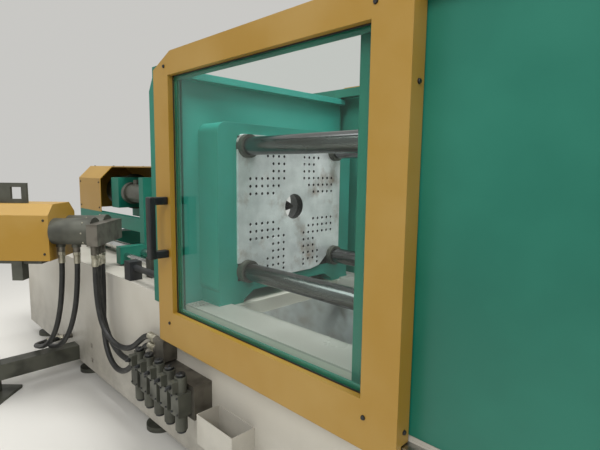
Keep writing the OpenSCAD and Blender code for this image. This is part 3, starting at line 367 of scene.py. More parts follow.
@dataclass(frozen=True, kw_only=True)
class CastPlaten(Finish):
    """Enamelled iron casting with a bare milled face, which starts at a plane and shows rust, and with
    painted shade in its holes.

    Attributes:
        iron: Colour of the enamel on the rough casting, painted lighter than the green enamel elsewhere to
            stand in for the light on it.
        iron_rough: Roughness of that enamel.
        face_x: Plane in metres where the milled face starts.
        top_x: Plane in metres of the milled face itself.
        core: Half width and half height in metres that the holes and their painted shade keep to.
        rim: How far behind the face the painted shade in the holes starts.
        depth: How far behind the face it ends.
        side: 1 where the face looks to +X and -1 where it looks to -X.
        grain_mm: Width of a lump of the casting's skin.
        streak_mm: Spacing of the cutter's marks, drawn coarser than the real ones to show.
        rust_mm: Size of a patch of rust.
        smear_mm: Size of a smear of oil on the bare iron.
        edge: Radius of the softened edges in metres.
    """

    iron: Tone = Tone.GREEN_IRON_LIT
    iron_rough: float = 0.5
    face_x: float
    top_x: float
    core: tuple[float, float] = (0.345, 0.330)
    rim: float = 0.0015
    depth: float = 0.178
    side: int
    grain_mm: float = 7.0
    streak_mm: float = 18.1
    rust_mm: float = 182.0
    smear_mm: float = 71.4
    edge: float = 0.003

    def paint(self, tree: bpy.types.NodeTree, place: bpy.types.NodeSocket) -> bpy.types.Node:
        """Build the nodes of the casting and its milled face.

        Args:
            tree: The material's tree.
            place: Coordinates in metres.

        Returns:
            The shader.
        """
        axes = add(tree, "ShaderNodeSeparateXYZ", {"Vector": place}).outputs
        ahead = add(tree, "ShaderNodeMath", {0: axes["X"], 1: float(self.side)}, operation="MULTIPLY")
        bare = add(tree, "ShaderNodeMath", {0: ahead, 1: self.side * self.face_x}, operation="GREATER_THAN")
        rust = {"Vector": place, "Scale": 1000 / self.rust_mm, "Detail": 9.0, "Roughness": 0.62}
        rust = add(tree, "ShaderNodeTexNoise", rust)
        stain = add(
            tree, "ShaderNodeMapRange", {"Value": rust, "From Min": 0.54, "From Max": 0.70, "To Max": 0.85}
        )
        skin = add(
            tree,
            "ShaderNodeMix",
            {"Factor": bare, "A": self.casting(tree, rust), "B": self.milled(tree, place, stain)},
            data_type="RGBA",
        )
        # Painted shade: all between these two planes behind the face, within the core, is painted near black,
        # standing in for the shade in the bolt holes, the bore and the tie bars' recesses.
        near, far = sorted(self.top_x - self.side * behind for behind in (self.rim, self.depth))
        y, z = self.core
        hole_shade = inside_box(tree, place, (near, -y, -z), (far, y, z))
        colour = add(tree, "ShaderNodeMix", {"Factor": hole_shade, "A": skin, "B": Tone.HOLE}, data_type="RGBA")
        worn = {"Value": stain, "From Max": 0.8, "To Min": self.roughness, "To Max": 0.7}
        worn = add(tree, "ShaderNodeMapRange", worn)
        rough = add(tree, "ShaderNodeMix", {"Factor": bare, "A": self.iron_rough, "B": worn})
        clean = add(tree, "ShaderNodeMath", {0: 1.0, 1: stain}, operation="SUBTRACT")
        metal = add(tree, "ShaderNodeMath", {0: bare, 1: clean}, operation="MULTIPLY")
        metal = add(tree, "ShaderNodeMath", {0: metal, 1: self.metallic}, operation="MULTIPLY")
        surface = {"Base Color": colour, "Metallic": metal, "Roughness": rough}
        return add(tree, "ShaderNodeBsdfPrincipled", {**surface, "Normal": self.relief(tree, place, bare)})

    def casting(self, tree: bpy.types.NodeTree, rust: bpy.types.Node) -> bpy.types.Node:
        """Mix the colour of the rough casting.

        Args:
            tree: The material's tree.
            rust: The pattern that fades it.

        Returns:
            The node with the colour.
        """
        faded = add(tree, "ShaderNodeMapRange", {"Value": rust, "To Max": 0.5, **MIDDLE})
        colours = {"Factor": faded, "A": self.iron, "B": Tone.GREEN_FADED}
        return add(tree, "ShaderNodeMix", colours, data_type="RGBA")

    def milled(
        self, tree: bpy.types.NodeTree, place: bpy.types.NodeSocket, stain: bpy.types.Node
    ) -> bpy.types.Node:
        """Mix the colour of the bare milled iron.

        Args:
            tree: The material's tree.
            place: Coordinates in metres.
            stain: Share of rust on it.

        Returns:
            The node with the colour.
        """
        iron = {"Factor": stain, "A": self.colour, "B": Tone.RUST}
        iron = add(tree, "ShaderNodeMix", iron, data_type="RGBA")
        smear = {"Vector": place, "Scale": 1000 / self.smear_mm, "Detail": 5.0}
        smear = add(tree, "ShaderNodeTexNoise", smear)
        share = add(tree, "ShaderNodeMapRange", {"Value": smear, "To Max": 0.5, **MIDDLE})
        colours = {"Factor": share, "A": iron, "B": Tone.IRON_DULL}
        return add(tree, "ShaderNodeMix", colours, data_type="RGBA")

    def relief(
        self, tree: bpy.types.NodeTree, place: bpy.types.NodeSocket, bare: bpy.types.Node
    ) -> bpy.types.Node:
        """Raise the cutter's marks on the face and the lumps on the casting.

        Args:
            tree: The material's tree.
            place: Coordinates in metres.
            bare: 1 on the milled face and 0 on the casting.

        Returns:
            The node with the normal.
        """
        # A wave texture has this many bands in each unit of its scale.
        bands_per_unit = 10 / math.pi
        across = 1000 / (self.streak_mm * bands_per_unit)
        marks = {"Vector": place, "Scale": across, "Distortion": 1.5}
        marks = add(tree, "ShaderNodeTexWave", marks, bands_direction="Z")
        cut = {"Value": marks.outputs["Fac"], "To Min": 0.4, "To Max": 0.55, **MIDDLE}
        cut = add(tree, "ShaderNodeMapRange", cut)
        lumps = {"Vector": place, "Scale": 1000 / self.grain_mm, "Detail": 2.0}
        lumps = add(tree, "ShaderNodeTexNoise", lumps)
        height = add(tree, "ShaderNodeMix", {"Factor": bare, "A": lumps, "B": cut})
        soft = add(tree, "ShaderNodeBevel", {"Radius": self.edge}, samples=4)
        felt = {"Height": height, "Normal": soft, "Strength": 0.35, "Distance": 0.0015}
        return add(tree, "ShaderNodeBump", felt)


@dataclass(frozen=True, kw_only=True)
class BareMetal(Finish):
    """Turned, milled or ground metal: fine lay across X, with oil and handling marks.

    Attributes:
        tint: Colour of the oily or worn patches.
        lay_mm: Spacing of the lay, drawn coarser than the real one to show.
        lay_long: How many times longer than wide a mark of the lay is.
        patch_mm: Size of an oily patch.
        bite: How strongly the lay is felt.
        soft: Radius in metres of the broken edges, or 0 for sharp ones.
        drawn: How far the oily patches are drawn out along X.
    """

    tint: Tone
    lay_mm: float = 3.0
    lay_long: float = 25.0
    patch_mm: float = 120.0
    bite: float = 0.2
    soft: float = 0.0015
    drawn: float = 1.0

    def paint(self, tree: bpy.types.NodeTree, place: bpy.types.NodeSocket) -> bpy.types.Node:
        """Build the nodes of the metal.

        Args:
            tree: The material's tree.
            place: Coordinates in metres.

        Returns:
            The shader.
        """
        across = 1000 / self.lay_mm
        squeeze = (across, across / self.lay_long, across / self.lay_long)
        lay_place = add(tree, "ShaderNodeMapping", {"Vector": place, "Scale": squeeze})
        lay = add(tree, "ShaderNodeTexNoise", {"Vector": lay_place, "Scale": 1.0, "Detail": 3.0})
        oil_place = add(tree, "ShaderNodeMapping", {"Vector": place, "Scale": (1 / self.drawn, 1.0, 1.0)})
        oil = {"Vector": oil_place, "Scale": 1000 / self.patch_mm, "Detail": 2.0}
        patch = add(tree, "ShaderNodeTexNoise", oil)
        share = add(
            tree, "ShaderNodeMapRange", {"Value": patch, "From Min": 0.45, "From Max": 0.7, "To Max": 0.8}
        )
        colour = {"Factor": share, "A": self.colour, "B": self.tint}
        rough = {"To Min": self.roughness, "To Max": self.roughness + 0.22, **MIDDLE}
        bump = add(tree, "ShaderNodeBump", {"Height": lay, "Strength": self.bite, "Distance": 0.0005})
        if self.soft:
            edge = add(tree, "ShaderNodeBevel", {"Radius": self.soft}, samples=4)
            tree.links.new(edge.outputs["Normal"], bump.inputs["Normal"])
        return add(
            tree,
            "ShaderNodeBsdfPrincipled",
            {
                "Base Color": add(tree, "ShaderNodeMix", colour, data_type="RGBA"),
                "Metallic": self.metallic,
                "Roughness": add(tree, "ShaderNodeMapRange", {"Value": patch, **rough}),
                "Normal": bump,
            },
        )


@dataclass(frozen=True, kw_only=True)
class HoseRubber(Finish):
    """Extruded synthetic rubber over wire braid: matt black, with the cloth marks of its curing.

    Attributes:
        dust: Colour of the patches of dust.
        weave_mm: Width of the wrapped cloth's marks, drawn coarser than the real ones to show.
        dust_mm: Size of a patch of dust.
    """

    dust: Tone = Tone.RUBBER_DUSTY
    weave_mm: float = 8.0
    dust_mm: float = 45.5

    def paint(self, tree: bpy.types.NodeTree, place: bpy.types.NodeSocket) -> bpy.types.Node:
        """Build the nodes of the rubber.

        Args:
            tree: The material's tree.
            place: Coordinates in metres.

        Returns:
            The shader.
        """
        weave = add(tree, "ShaderNodeTexVoronoi", {"Vector": place, "Scale": 1000 / self.weave_mm})
        dust = {"Vector": place, "Scale": 1000 / self.dust_mm, "Detail": 6.0}
        dust = add(tree, "ShaderNodeTexNoise", dust)
        share = {"Value": dust, "From Min": 0.5, "From Max": 0.75, "To Max": 0.8}
        colour = {"Factor": add(tree, "ShaderNodeMapRange", share), "A": self.colour, "B": self.dust}
        rough = {"To Min": self.roughness - 0.1, "To Max": self.roughness + 0.15}
        rough = add(tree, "ShaderNodeMapRange", {"Value": dust, **MIDDLE, **rough})
        felt = {"Height": weave, "Strength": 0.15, "Distance": 0.0008}
        return add(
            tree,
            "ShaderNodeBsdfPrincipled",
            {
                "Base Color": add(tree, "ShaderNodeMix", colour, data_type="RGBA"),
                "Roughness": rough,
                "Normal": add(tree, "ShaderNodeBump", felt),
            },
        )


@dataclass(frozen=True)
class ClearPane(Finish):
    """Extruded polycarbonate sheet: clear with a green cast, faintly hazed by wiping.

    Attributes:
        bend: Index of refraction, lower than the real 1.58 so that the view stays in its place.
        wipe_mm: Width of a wiping mark.
    """

    bend: float = 1.25
    wipe_mm: float = 167.0

    def paint(self, tree: bpy.types.NodeTree, place: bpy.types.NodeSocket) -> bpy.types.Node:
        """Build the nodes of the pane.

        Args:
            tree: The material's tree.
            place: Coordinates in metres.

        Returns:
            The shader.
        """
        wipe_place = add(tree, "ShaderNodeMapping", {"Vector": place, "Scale": (1.0, 1.0, 0.3)})
        wipe = {"Vector": wipe_place, "Scale": 1000 / self.wipe_mm, "Detail": 6.0}
        wipe = add(tree, "ShaderNodeTexNoise", wipe)
        haze = {"Value": wipe, "From Min": 0.45, "From Max": 0.75, "To Max": self.roughness}
        shader = add(
            tree,
            "ShaderNodeBsdfPrincipled",
            {
                "Base Color": self.colour,
                "Roughness": add(tree, "ShaderNodeMapRange", haze),
                "Transmission Weight": 1.0,
                "IOR": self.bend,
            },
        )
        through = add(tree, "ShaderNodeBsdfTransparent", {"Color": Tone.PANE_LIGHT})
        rays = add(tree, "ShaderNodeLightPath").outputs
        sent = {0: rays["Is Glossy Ray"], 1: rays["Is Transmission Ray"]}
        mirrored = add(tree, "ShaderNodeMath", sent, operation="GREATER_THAN")
        light = rays["Is Shadow Ray"]
        for kind in (rays["Is Diffuse Ray"], mirrored):
            light = add(tree, "ShaderNodeMath", {0: light, 1: kind}, operation="MAXIMUM")
        return add(tree, "ShaderNodeMixShader", {0: light, 1: shader, 2: through})


@dataclass(frozen=True, kw_only=True)
class Moulded(Finish):
    """Injection moulded plastic: fine spark-eroded grain, evenly dull.

    Attributes:
        grain_mm: Width of a grain, drawn coarser than the real one to show.
        touch_mm: Size of a patch made shiny or dull by hands.
    """

    grain_mm: float = 2.5
    touch_mm: float = 83.3

    def paint(self, tree: bpy.types.NodeTree, place: bpy.types.NodeSocket) -> bpy.types.Node:
        """Build the nodes of the plastic.

        Args:
            tree: The material's tree.
            place: Coordinates in metres.

        Returns:
            The shader.
        """
        grain = {"Vector": place, "Scale": 1000 / self.grain_mm, "Detail": 2.0}
        grain = add(tree, "ShaderNodeTexNoise", grain)
        touch = {"Vector": place, "Scale": 1000 / self.touch_mm, "Detail": 4.0}
        touch = add(tree, "ShaderNodeTexNoise", touch)
        bump = add(tree, "ShaderNodeBump", {"Height": grain, "Strength": 0.2, "Distance": 0.0005})
        rough = {"To Min": self.roughness - 0.08, "To Max": self.roughness + 0.1}
        rough = add(tree, "ShaderNodeMapRange", {"Value": touch, **MIDDLE, **rough})
        surface = {"Base Color": self.colour, "Roughness": rough, "Normal": bump}
        return add(tree, "ShaderNodeBsdfPrincipled", surface)


@dataclass(frozen=True, kw_only=True)
class StudioFloor(Finish):
    """Pale matt floor that fades into the surroundings far away.

    Attributes:
        fade: Distances in metres from the middle where the fading starts and ends.
        glow: Brightness of the surroundings.
    """

    fade: tuple[float, float] = (3.5, 9.0)
    glow: float = GLOW

    def paint(self, tree: bpy.types.NodeTree, place: bpy.types.NodeSocket) -> bpy.types.Node:
        """Build the nodes of the floor.

        Args:
            tree: The material's tree.
            place: Coordinates in metres.

        Returns:
            The shader.
        """
        away = add(tree, "ShaderNodeVectorMath", {0: place}, operation="LENGTH")
        span = {"From Min": self.fade[0], "From Max": self.fade[1]}
        far = add(tree, "ShaderNodeMapRange", {"Value": away.outputs["Value"], **span})
        matt = {"Base Color": self.colour, "Roughness": self.roughness}
        bright = {"Color": Tone.SURROUNDINGS, "Strength": self.glow}
        ends = {1: add(tree, "ShaderNodeBsdfPrincipled", matt), 2: add(tree, "ShaderNodeEmission", bright)}
        return add(tree, "ShaderNodeMixShader", {0: far, **ends})


# Satin enamel on folded sheet: warm ochre, paler where dust lies on it.
OCHRE = Enamel("Ochre enamel", "ochre_enamel", Tone.OCHRE, 0.38, worn=Tone.OCHRE_DUSTY)
# The same enamel on a door, which is green on its inner side.
DOOR = Enamel(
    "Door enamel",
    "ochre_enamel",
    Tone.OCHRE,
    0.36,
    worn=Tone.OCHRE_DUSTY,
    inside=Tone.GREEN_DOOR_BACK,
    inside_y=0.5665,
    inside_x=(-0.272, 1.004),
    inside_z=(-0.604, 0.659),
)
# The far door shows its green inner side through the machine.
FAR_DOOR = replace(DOOR, name="Far door enamel", inside_y=0.5985)
# Satin enamel on the sheet covers: deep green with a faded bloom, and painted shade as black lines along the
# seams.
COVER = Enamel(
    "Green enamel",
    "green_enamel",
    Tone.GREEN,
    0.34,
    worn=Tone.GREEN_FADED,
    patch_mm=700,
    seam_shade_x=(0.845, 1.72),
)
# The same enamel inside the guards, painted lighter to stand in for the light that falls on it there, with
# paler patches.
INNER_LIT = Enamel(
    "Inner green enamel painted lighter", "green_enamel", Tone.GREEN_LIT_INSIDE, 0.38, worn=Tone.GREEN_LIT_INSIDE_PALE, patch_mm=500
)
# The same enamel on castings and welded parts: rougher and dirtier.
GREEN = Enamel("Cast green enamel", "green_enamel", Tone.GREEN, 0.45, worn=Tone.GREEN_FADED, pebble_mm=9)
# Light grey enamel of the welded base, dirty towards the floor.
GREY = Enamel(
    "Grey enamel", "cream_enamel", Tone.GREY, 0.42, worn=Tone.GREY_DUSTY, patch_mm=500, splash_z=-0.72
)
# The rolled sheet on the deck: grey enamel rubbed by falling parts.
SILL = Enamel(
    "Rubbed grey enamel", "cream_enamel", Tone.GREY_DECK, 0.3, worn=Tone.GREY_RUBBED, patch_mm=320
)
# Fixed platen: green casting, its enamel painted lighter as if lit, with a bare milled pad that has begun to
# rust.
FIXED_FACE = CastPlaten(
    "Milled cast iron", "green_enamel", Tone.IRON_BRIGHT, 0.32, 0.35, face_x=-0.0115, top_x=0.0, side=1
)
# Moving platen: the same casting, facing the other way.
MOVING_FACE = replace(FIXED_FACE, name="Milled cast iron, mirrored", face_x=0.9115, top_x=0.9, side=-1)
# Nozzle: steel burnt brown by its heater band.
BURNT = BareMetal("Burnt steel", "machined_steel", Tone.BURNT, 0.45, 0.8, tint=Tone.BURNT_DARK, lay_mm=2.0)
# Hard chromed and ground bars: bright, with an oil film.
CHROMED = BareMetal("Chromed steel", "bar_steel", Tone.CHROME, 0.14, 1.0, tint=Tone.CHROME_OILED, lay_mm=2.0)
# Tie bars: ground, dark with oil, with paler rubbed streaks.
OILED = BareMetal(
    "Oiled ground steel",
    "bar_steel",
    Tone.BAR,
    0.12,
    1.0,
    tint=Tone.BAR_OIL,
    lay_mm=9.0,
    patch_mm=70,
    bite=0.02,
    soft=0.0,
    drawn=9.0,
)
# Milled or turned steel: satin, with smears of oil.
MACHINED = BareMetal("Machined steel", "machined_steel", Tone.STEEL, 0.32, 1.0, tint=Tone.STEEL_SMEARED)
# Port blocks and valve manifolds: steel gone dark with oil and dust.
OILY = BareMetal(
    "Oily steel block", "machined_steel", Tone.BLOCK, 0.4, 0.8, tint=Tone.BLOCK_OIL, lay_mm=4.0, patch_mm=90
)
# Zinc plated screws, fittings, heater bands and gate: pale and slightly yellow.
ZINC = BareMetal("Zinc plated steel", "machined_steel", Tone.ZINC, 0.34, 1.0, tint=Tone.ZINC_DULL, lay_mm=4.0)
# Dark enamelled or blued cylinders: oily and dusty.
GUNMETAL = BareMetal(
    "Dark oiled steel", "dark_steel", Tone.GUNMETAL, 0.38, 0.35, tint=Tone.GUNMETAL_DARK, lay_mm=5.0
)
# Black cast stands, lifting eyes and blackened screws: dull, with dust.
SOOT = BareMetal(
    "Black cast iron", "black_steel", Tone.CAST_BLACK, 0.5, 0.2, tint=Tone.CAST_DUSTY, lay_mm=6.0
)
# Turned bronze bushes: yellow and worn smooth.
BRONZE = BareMetal("Turned bronze", "bronze", Tone.BRONZE, 0.3, 1.0, tint=Tone.BRONZE_WORN)
# Hydraulic hose: dull black rubber.
RUBBER = HoseRubber("Hose rubber", "hose_rubber", Tone.RUBBER, 0.5)
# Sight pane of the doors: clear, with a green cast.
PANE = ClearPane("Clear polycarbonate", "clear_pane", Tone.PANE, 0.012)
# Handles, beads, nuts, keys and screws of black nylon: dull, with a fine grain.
NYLON = Moulded("Black nylon", "black_plastic", Tone.NYLON, 0.45)
# Panel case of ABS: pale and evenly dull.
CASE = Moulded("Pale ABS", "grey_plastic", Tone.ABS_PALE, 0.42)
# Screen behind acrylic: dark and glossy.
SCREEN = Moulded("Dark acrylic", "black_plastic", Tone.ACRYLIC, 0.12, grain_mm=40)
# Mushroom button and switch knob of ABS: glossy red.
RED = Moulded("Red ABS", "red_plastic", Tone.RED, 0.28)
# Concrete floor of the studio: pale and matt.
FLOOR = StudioFloor("Studio floor", "", Tone.FLOOR, 0.7)

NODES_OF_FINISH: tuple[tuple[Finish, tuple[str, ...]], ...] = (
    (GREY, ("base_frame", "drip_tray")),
    (SILL, ("deck_sills",)),
    (FIXED_FACE, ("fixed_platen",)),
    (MOVING_FACE, ("moving_platen",)),
    (OILED, ("tie_bars",)),
    (
        GUNMETAL,
        (
            "levelling_feet", "tie_bar_nuts", "clamp_cylinder", "solenoid_valves", "pull_cylinders",
            "panel_arm", "side_console", "side_cylinders", "injection_cylinders", "screw_motor",
        ),
    ),
    (INNER_LIT, ("front_bulkhead",)),
    (GREEN, ("side_guards", "guide_beams", "rear_platen", "carriage_frame", "crosshead")),
    (COVER, ("near_clamp_cover", "far_clamp_cover", "clamp_roof")),
    (OCHRE, ("side_hood", "injection_hood")),
    (DOOR, ("near_door_frame",)),
    (FAR_DOOR, ("far_door_frame",)),
    (PANE, ("near_door_window", "far_door_window")),
    (CHROMED, ("door_rails", "guide_bars", "clamp_ram", "pull_rods", "screw")),
    (MACHINED, ("drop_chute", "ejector_plate", "barrel", "feed_block", "hopper", "hopper_lid")),
    (OILY, ("valve_block", "side_ports")),
    (ZINC, ("heater_bands", "hopper_gate")),
    (SOOT, ("bar_stands",)),
    (BRONZE, ("guide_bushes",)),
    (BURNT, ("nozzle",)),
    (CASE, ("control_panel",)),
    (RED, ("emergency_stop", "main_switch")),
)


# Mesh tools


class Shape:
    """A mesh that grows out of simple closed solids, all facing outwards."""

    def __init__(self) -> None:
        """Start with an empty mesh."""
        self.mesh = bmesh.new()

    def box(self, low: Point, high: Point, edge: float, steps: int = 2) -> Shape:
        """Add a box between two corners.

        Args:
            low: Lowest corner.
            high: Highest corner.
            edge: Radius of its edges.
            steps: Facets over each edge.

        Returns:
            This shape.
        """
        verts = bmesh.ops.create_cube(self.mesh, size=1.0)["verts"]
        for v in verts:
            v.co = Vector([low[i] + (v.co[i] + 0.5) * (high[i] - low[i]) for i in range(3)])
        edges = list({e for v in verts for e in v.link_edges})
        rounded = {"offset": edge, "segments": steps, "profile": 0.5, "affect": "EDGES"}
        bmesh.ops.bevel(self.mesh, geom=edges, clamp_overlap=True, **rounded)
        return self

    def lathe(self, profile: Sequence[tuple[float, float]], at: Point, along: Point, sides: int) -> Shape:
        """Add a turned solid.

        Args:
            profile: Pairs of a place along the axis and a radius, from one end to the other.
            at: Where the axis starts.
            along: Direction of the axis.
            sides: Number of its sides.

        Returns:
            This shape.
        """
        turn = Vector((0, 0, 1)).rotation_difference(Vector(along).normalized()).to_matrix()
        rings = []
        for place, radius in profile:
            ring = [Vector((*around(radius, 360 * k / sides), place)) for k in range(sides)]
            rings.append([self.mesh.verts.new(Vector(at) + turn @ spot) for spot in ring])
        self.skin(rings)
        return self

    def tube(self, path: Sequence[Vector], radius: float, sides: int) -> Shape:
        """Add a round tube along a path.

        Args:
            path: Points of its centreline.
            radius: Its radius.
            sides: Number of its sides.

        Returns:
            This shape.
        """
        rings = []
        ahead = (path[1] - path[0]).normalized()
        side = ahead.orthogonal().normalized()
        for i, spot in enumerate(path):
            new = (path[min(i + 1, len(path) - 1)] - path[max(i - 1, 0)]).normalized()
            side = (ahead.rotation_difference(new) @ side).normalized()
            side = (side - new * side.dot(new)).normalized()
            ahead = new
            other = ahead.cross(side)
            ring = [around(radius, 360 * k / sides) for k in range(sides)]
            rings.append([self.mesh.verts.new(spot + u * side + v * other) for u, v in ring])
        self.skin(rings)
        return self

    def skin(self, rings: Sequence[Sequence[bmesh.types.BMVert]]) -> None:
        """Close a row of rings into a solid.

        Args:
            rings: Rings of vertices with the same number each.
        """
        n = len(rings[0])
        made = [self.mesh.faces.new(rings[0]), self.mesh.faces.new(list(reversed(rings[-1])))]
        for low, high in zip(rings, rings[1:]):
            corners = [(low[k], high[k], high[(k + 1) % n], low[(k + 1) % n]) for k in range(n)]
            made += [self.mesh.faces.new(corner) for corner in corners]
        bmesh.ops.recalc_face_normals(self.mesh, faces=made)

    def place(self, name: str, finish: Finish, body: str, sharp: float = 35.0) -> bpy.types.Object:
        """Turn the shape into a piece that rides on a body.

        Args:
            name: Name of the piece.
            finish: What it is made of.
            body: The body that it rides on.
            sharp: Angle in degrees past which an edge stays sharp.

        Returns:
            The piece.
        """
        data = bpy.data.meshes.new(name)
        self.mesh.to_mesh(data)
        self.mesh.free()
        return settle(name, data, finish, body, sharp)


def settle(
    name: str, data: bpy.types.Mesh, finish: Finish, body: str, sharp: float = 35.0
) -> bpy.types.Object:
    """Make a mesh a piece of the model.

    Args:
        name: Name of the piece.
        data: Its mesh, in the machine's frame.
        finish: What it is made of.
        body: The body that it rides on.
        sharp: Angle in degrees past which an edge stays sharp.

    Returns:
        The piece.
    """
    data.shade_smooth()
    data.set_sharp_from_angle(angle=math.radians(sharp))
    piece = bpy.data.objects.new(name, data)
    bpy.context.scene.collection.objects.link(piece)
    data.materials.clear()
    data.materials.append(finish.make())
    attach(piece, body)
    LOG.info("%s: %d faces on %s", name, len(data.polygons), body)
    return piece


def around(radius: float, degrees: float) -> tuple[float, float]:
    """Find a place on a circle.

    Args:
        radius: Radius of the circle.
        degrees: Angle from its first axis.

    Returns:
        The two coordinates.
    """
    angle = math.radians(degrees)
    return radius * math.cos(angle), radius * math.sin(angle)


def smooth_path(points: Sequence[Point], steps: int) -> list[Vector]:
    """Run a smooth curve through points.

    Args:
        points: Points in metres.
        steps: Pieces between two points.

    Returns:
        The points of the curve.
    """
    spots = [Vector(p) for p in points]
    padded = [2 * spots[0] - spots[1], *spots, 2 * spots[-1] - spots[-2]]
    path = []
    for a, b, c, d in zip(padded, padded[1:], padded[2:], padded[3:]):
        slope, bow, twist = c - a, 2 * a - 5 * b + 4 * c - d, 3 * b - a - 3 * c + d
        for k in range(steps):
            t = k / steps
            path.append(0.5 * (2 * b + slope * t + bow * t**2 + twist * t**3))
    return path + [spots[-1]]


def circle_spots(centre: Point, radius: float, count: int, axis: Point, start: float = 0.0) -> list[Spot]:
    """Spots of a bolt circle.

    Args:
        centre: Middle of the circle.
        radius: Radius of the circle.
        count: Number of bolts.
        axis: Direction that the bolts face.
        start: Angle of the first one in degrees.

    Returns:
        Pairs of a place and the direction that it faces.
    """
    ahead = Vector(axis).normalized()
    turn = Vector((0, 0, 1)).rotation_difference(ahead)
    ring = [Vector((*around(radius, start + 360 * k / count), 0)) for k in range(count)]
    return [(tuple(Vector(centre) + turn @ spot), tuple(ahead)) for spot in ring]


# Geometry Nodes


def open_tree(name: str, sizes: dict[str, float]) -> bpy.types.NodeTree:
    """Start a Geometry Nodes tree whose sizes are named inputs.

    Args:
        name: Name of the tree.
        sizes: Names and usual values of its inputs.

    Returns:
        The tree.
    """
    tree = bpy.data.node_groups.new(name, "GeometryNodeTree")
    face = tree.interface
    face.new_socket("Geometry", in_out="INPUT", socket_type="NodeSocketGeometry")
    for label, value in sizes.items():
        kind = "NodeSocketInt" if isinstance(value, int) else "NodeSocketFloat"
        face.new_socket(label, in_out="INPUT", socket_type=kind).default_value = value
    face.new_socket("Material", in_out="INPUT", socket_type="NodeSocketMaterial")
    face.new_socket("Geometry", in_out="OUTPUT", socket_type="NodeSocketGeometry")
    return tree


def close_tree(tree: bpy.types.NodeTree, copies: bpy.types.Node, material: bpy.types.NodeSocket) -> None:
    """End a tree in real geometry that has its material.

    Args:
        tree: The tree.
        copies: The node that sets the copies.
        material: The input with their material.
    """
    real = add(tree, "GeometryNodeRealizeInstances", {"Geometry": copies})
    dressed = add(tree, "GeometryNodeSetMaterial", {"Geometry": real, "Material": material})
    add(tree, "NodeGroupOutput", {"Geometry": dressed})


def fastener_tree() -> bpy.types.NodeTree:
    """Build the tree that sets a screw or bolt at each point: a washer, a shank and a bevelled top.

    Returns:
        The tree.
    """
    sizes = {"Head Diameter": 0.012, "Head Height": 0.006, "Washer Share": 1.3, "Sides": 6}
    tree = open_tree("Fasteners", sizes)
    given = add(tree, "NodeGroupInput").outputs
    half = add(tree, "ShaderNodeMath", {0: given["Head Diameter"], 1: 0.5}, operation="MULTIPLY")
    narrow = add(tree, "ShaderNodeMath", {0: half, 1: 0.86}, operation="MULTIPLY")
    wide = add(tree, "ShaderNodeMath", {0: half, 1: given["Washer Share"]}, operation="MULTIPLY")
    # Shares of the head's height that the washer, the shank and the bevelled top stand up.
    thin, lift, crown = (
        add(tree, "ShaderNodeMath", {0: given["Head Height"], 1: share}, operation="MULTIPLY")
        for share in (0.25, 0.72, 0.28)
    )
    washer = {"Vertices": 16, "Radius Top": wide, "Radius Bottom": wide, "Depth": thin}
    shank = {"Vertices": given["Sides"], "Radius Top": half, "Radius Bottom": half, "Depth": lift}
    top = {"Vertices": given["Sides"], "Radius Top": narrow, "Radius Bottom": half, "Depth": crown}
    washer, shank, top = (add(tree, "GeometryNodeMeshCone", cone) for cone in (washer, shank, top))
    rise = add(tree, "ShaderNodeCombineXYZ", {"Z": lift})
    raised = add(tree, "GeometryNodeTransform", {"Geometry": top, "Translation": rise})
    whole = add(tree, "GeometryNodeJoinGeometry")
    for part in (raised, shank, washer):
        tree.links.new(part.outputs[0], whole.inputs[0])
    facing = add(tree, "GeometryNodeInputNamedAttribute", {"Name": "facing"}, data_type="FLOAT_VECTOR")
    turn = add(tree, "FunctionNodeAlignRotationToVector", {"Vector": facing}, axis="Z")
    spots = {"Points": given["Geometry"], "Instance": whole, "Rotation": turn}
    close_tree(tree, add(tree, "GeometryNodeInstanceOnPoints", spots), given["Material"])
    return tree


def louvre_tree() -> bpy.types.NodeTree:
    """Build the tree that sets a row of louvre slats at each point.

    Returns:
        The tree.
    """
    sizes = {"Pitch": 0.03, "Length": 0.3, "Depth": 0.012, "Thickness": 0.003, "Tilt": 0.6, "Count": 8}
    tree = open_tree("Louvre slats", sizes)
    given = add(tree, "NodeGroupInput").outputs
    size = add(
        tree, "ShaderNodeCombineXYZ", {"X": given["Length"], "Y": given["Depth"], "Z": given["Thickness"]}
    )
    slat = add(tree, "GeometryNodeMeshCube", {"Size": size})
    lean = add(tree, "ShaderNodeCombineXYZ", {"X": given["Tilt"]})
    turned = add(tree, "GeometryNodeTransform", {"Geometry": slat, "Rotation": lean})
    step = add(tree, "ShaderNodeCombineXYZ", {"Z": given["Pitch"]})
    row = add(tree, "GeometryNodeMeshLine", {"Count": given["Count"], "Offset": step}, mode="OFFSET")
    column = add(tree, "GeometryNodeInstanceOnPoints", {"Points": row, "Instance": turned})
    rows = add(tree, "GeometryNodeInstanceOnPoints", {"Points": given["Geometry"], "Instance": column})
    close_tree(tree, rows, given["Material"])
    return tree


def bake_tree(
    name: str,
    data: bpy.types.Mesh,
    tree: bpy.types.NodeTree,
    finish: Finish,
    body: str,
    sizes: dict[str, object],
) -> bpy.types.Object:
    """Run a Geometry Nodes tree on a mesh and keep the result as a plain mesh.

    Args:
        name: Name of the piece.
        data: The mesh that goes in.
        tree: The tree.
        finish: What the piece is made of.
        body: The body that it rides on.
        sizes: Values of the tree's inputs, named with underscores for blanks.

    Returns:
        The piece.
    """
    carrier = bpy.data.objects.new(name + "_seed", data)
    bpy.context.scene.collection.objects.link(carrier)
    run = carrier.modifiers.new("Nodes", "NODES")
    run.node_group = tree
    values = {key.replace("_", " ").title(): value for key, value in sizes.items()}
    values["Material"] = finish.make()
    for item in tree.interface.items_tree:
        if item.in_out == "INPUT" and item.name in values:
            run[item.identifier] = values[item.name]
    ready = carrier.evaluated_get(bpy.context.evaluated_depsgraph_get())
    result = bpy.data.meshes.new_from_object(ready)
    bpy.data.objects.remove(carrier)
    return settle(name, result, finish, body)


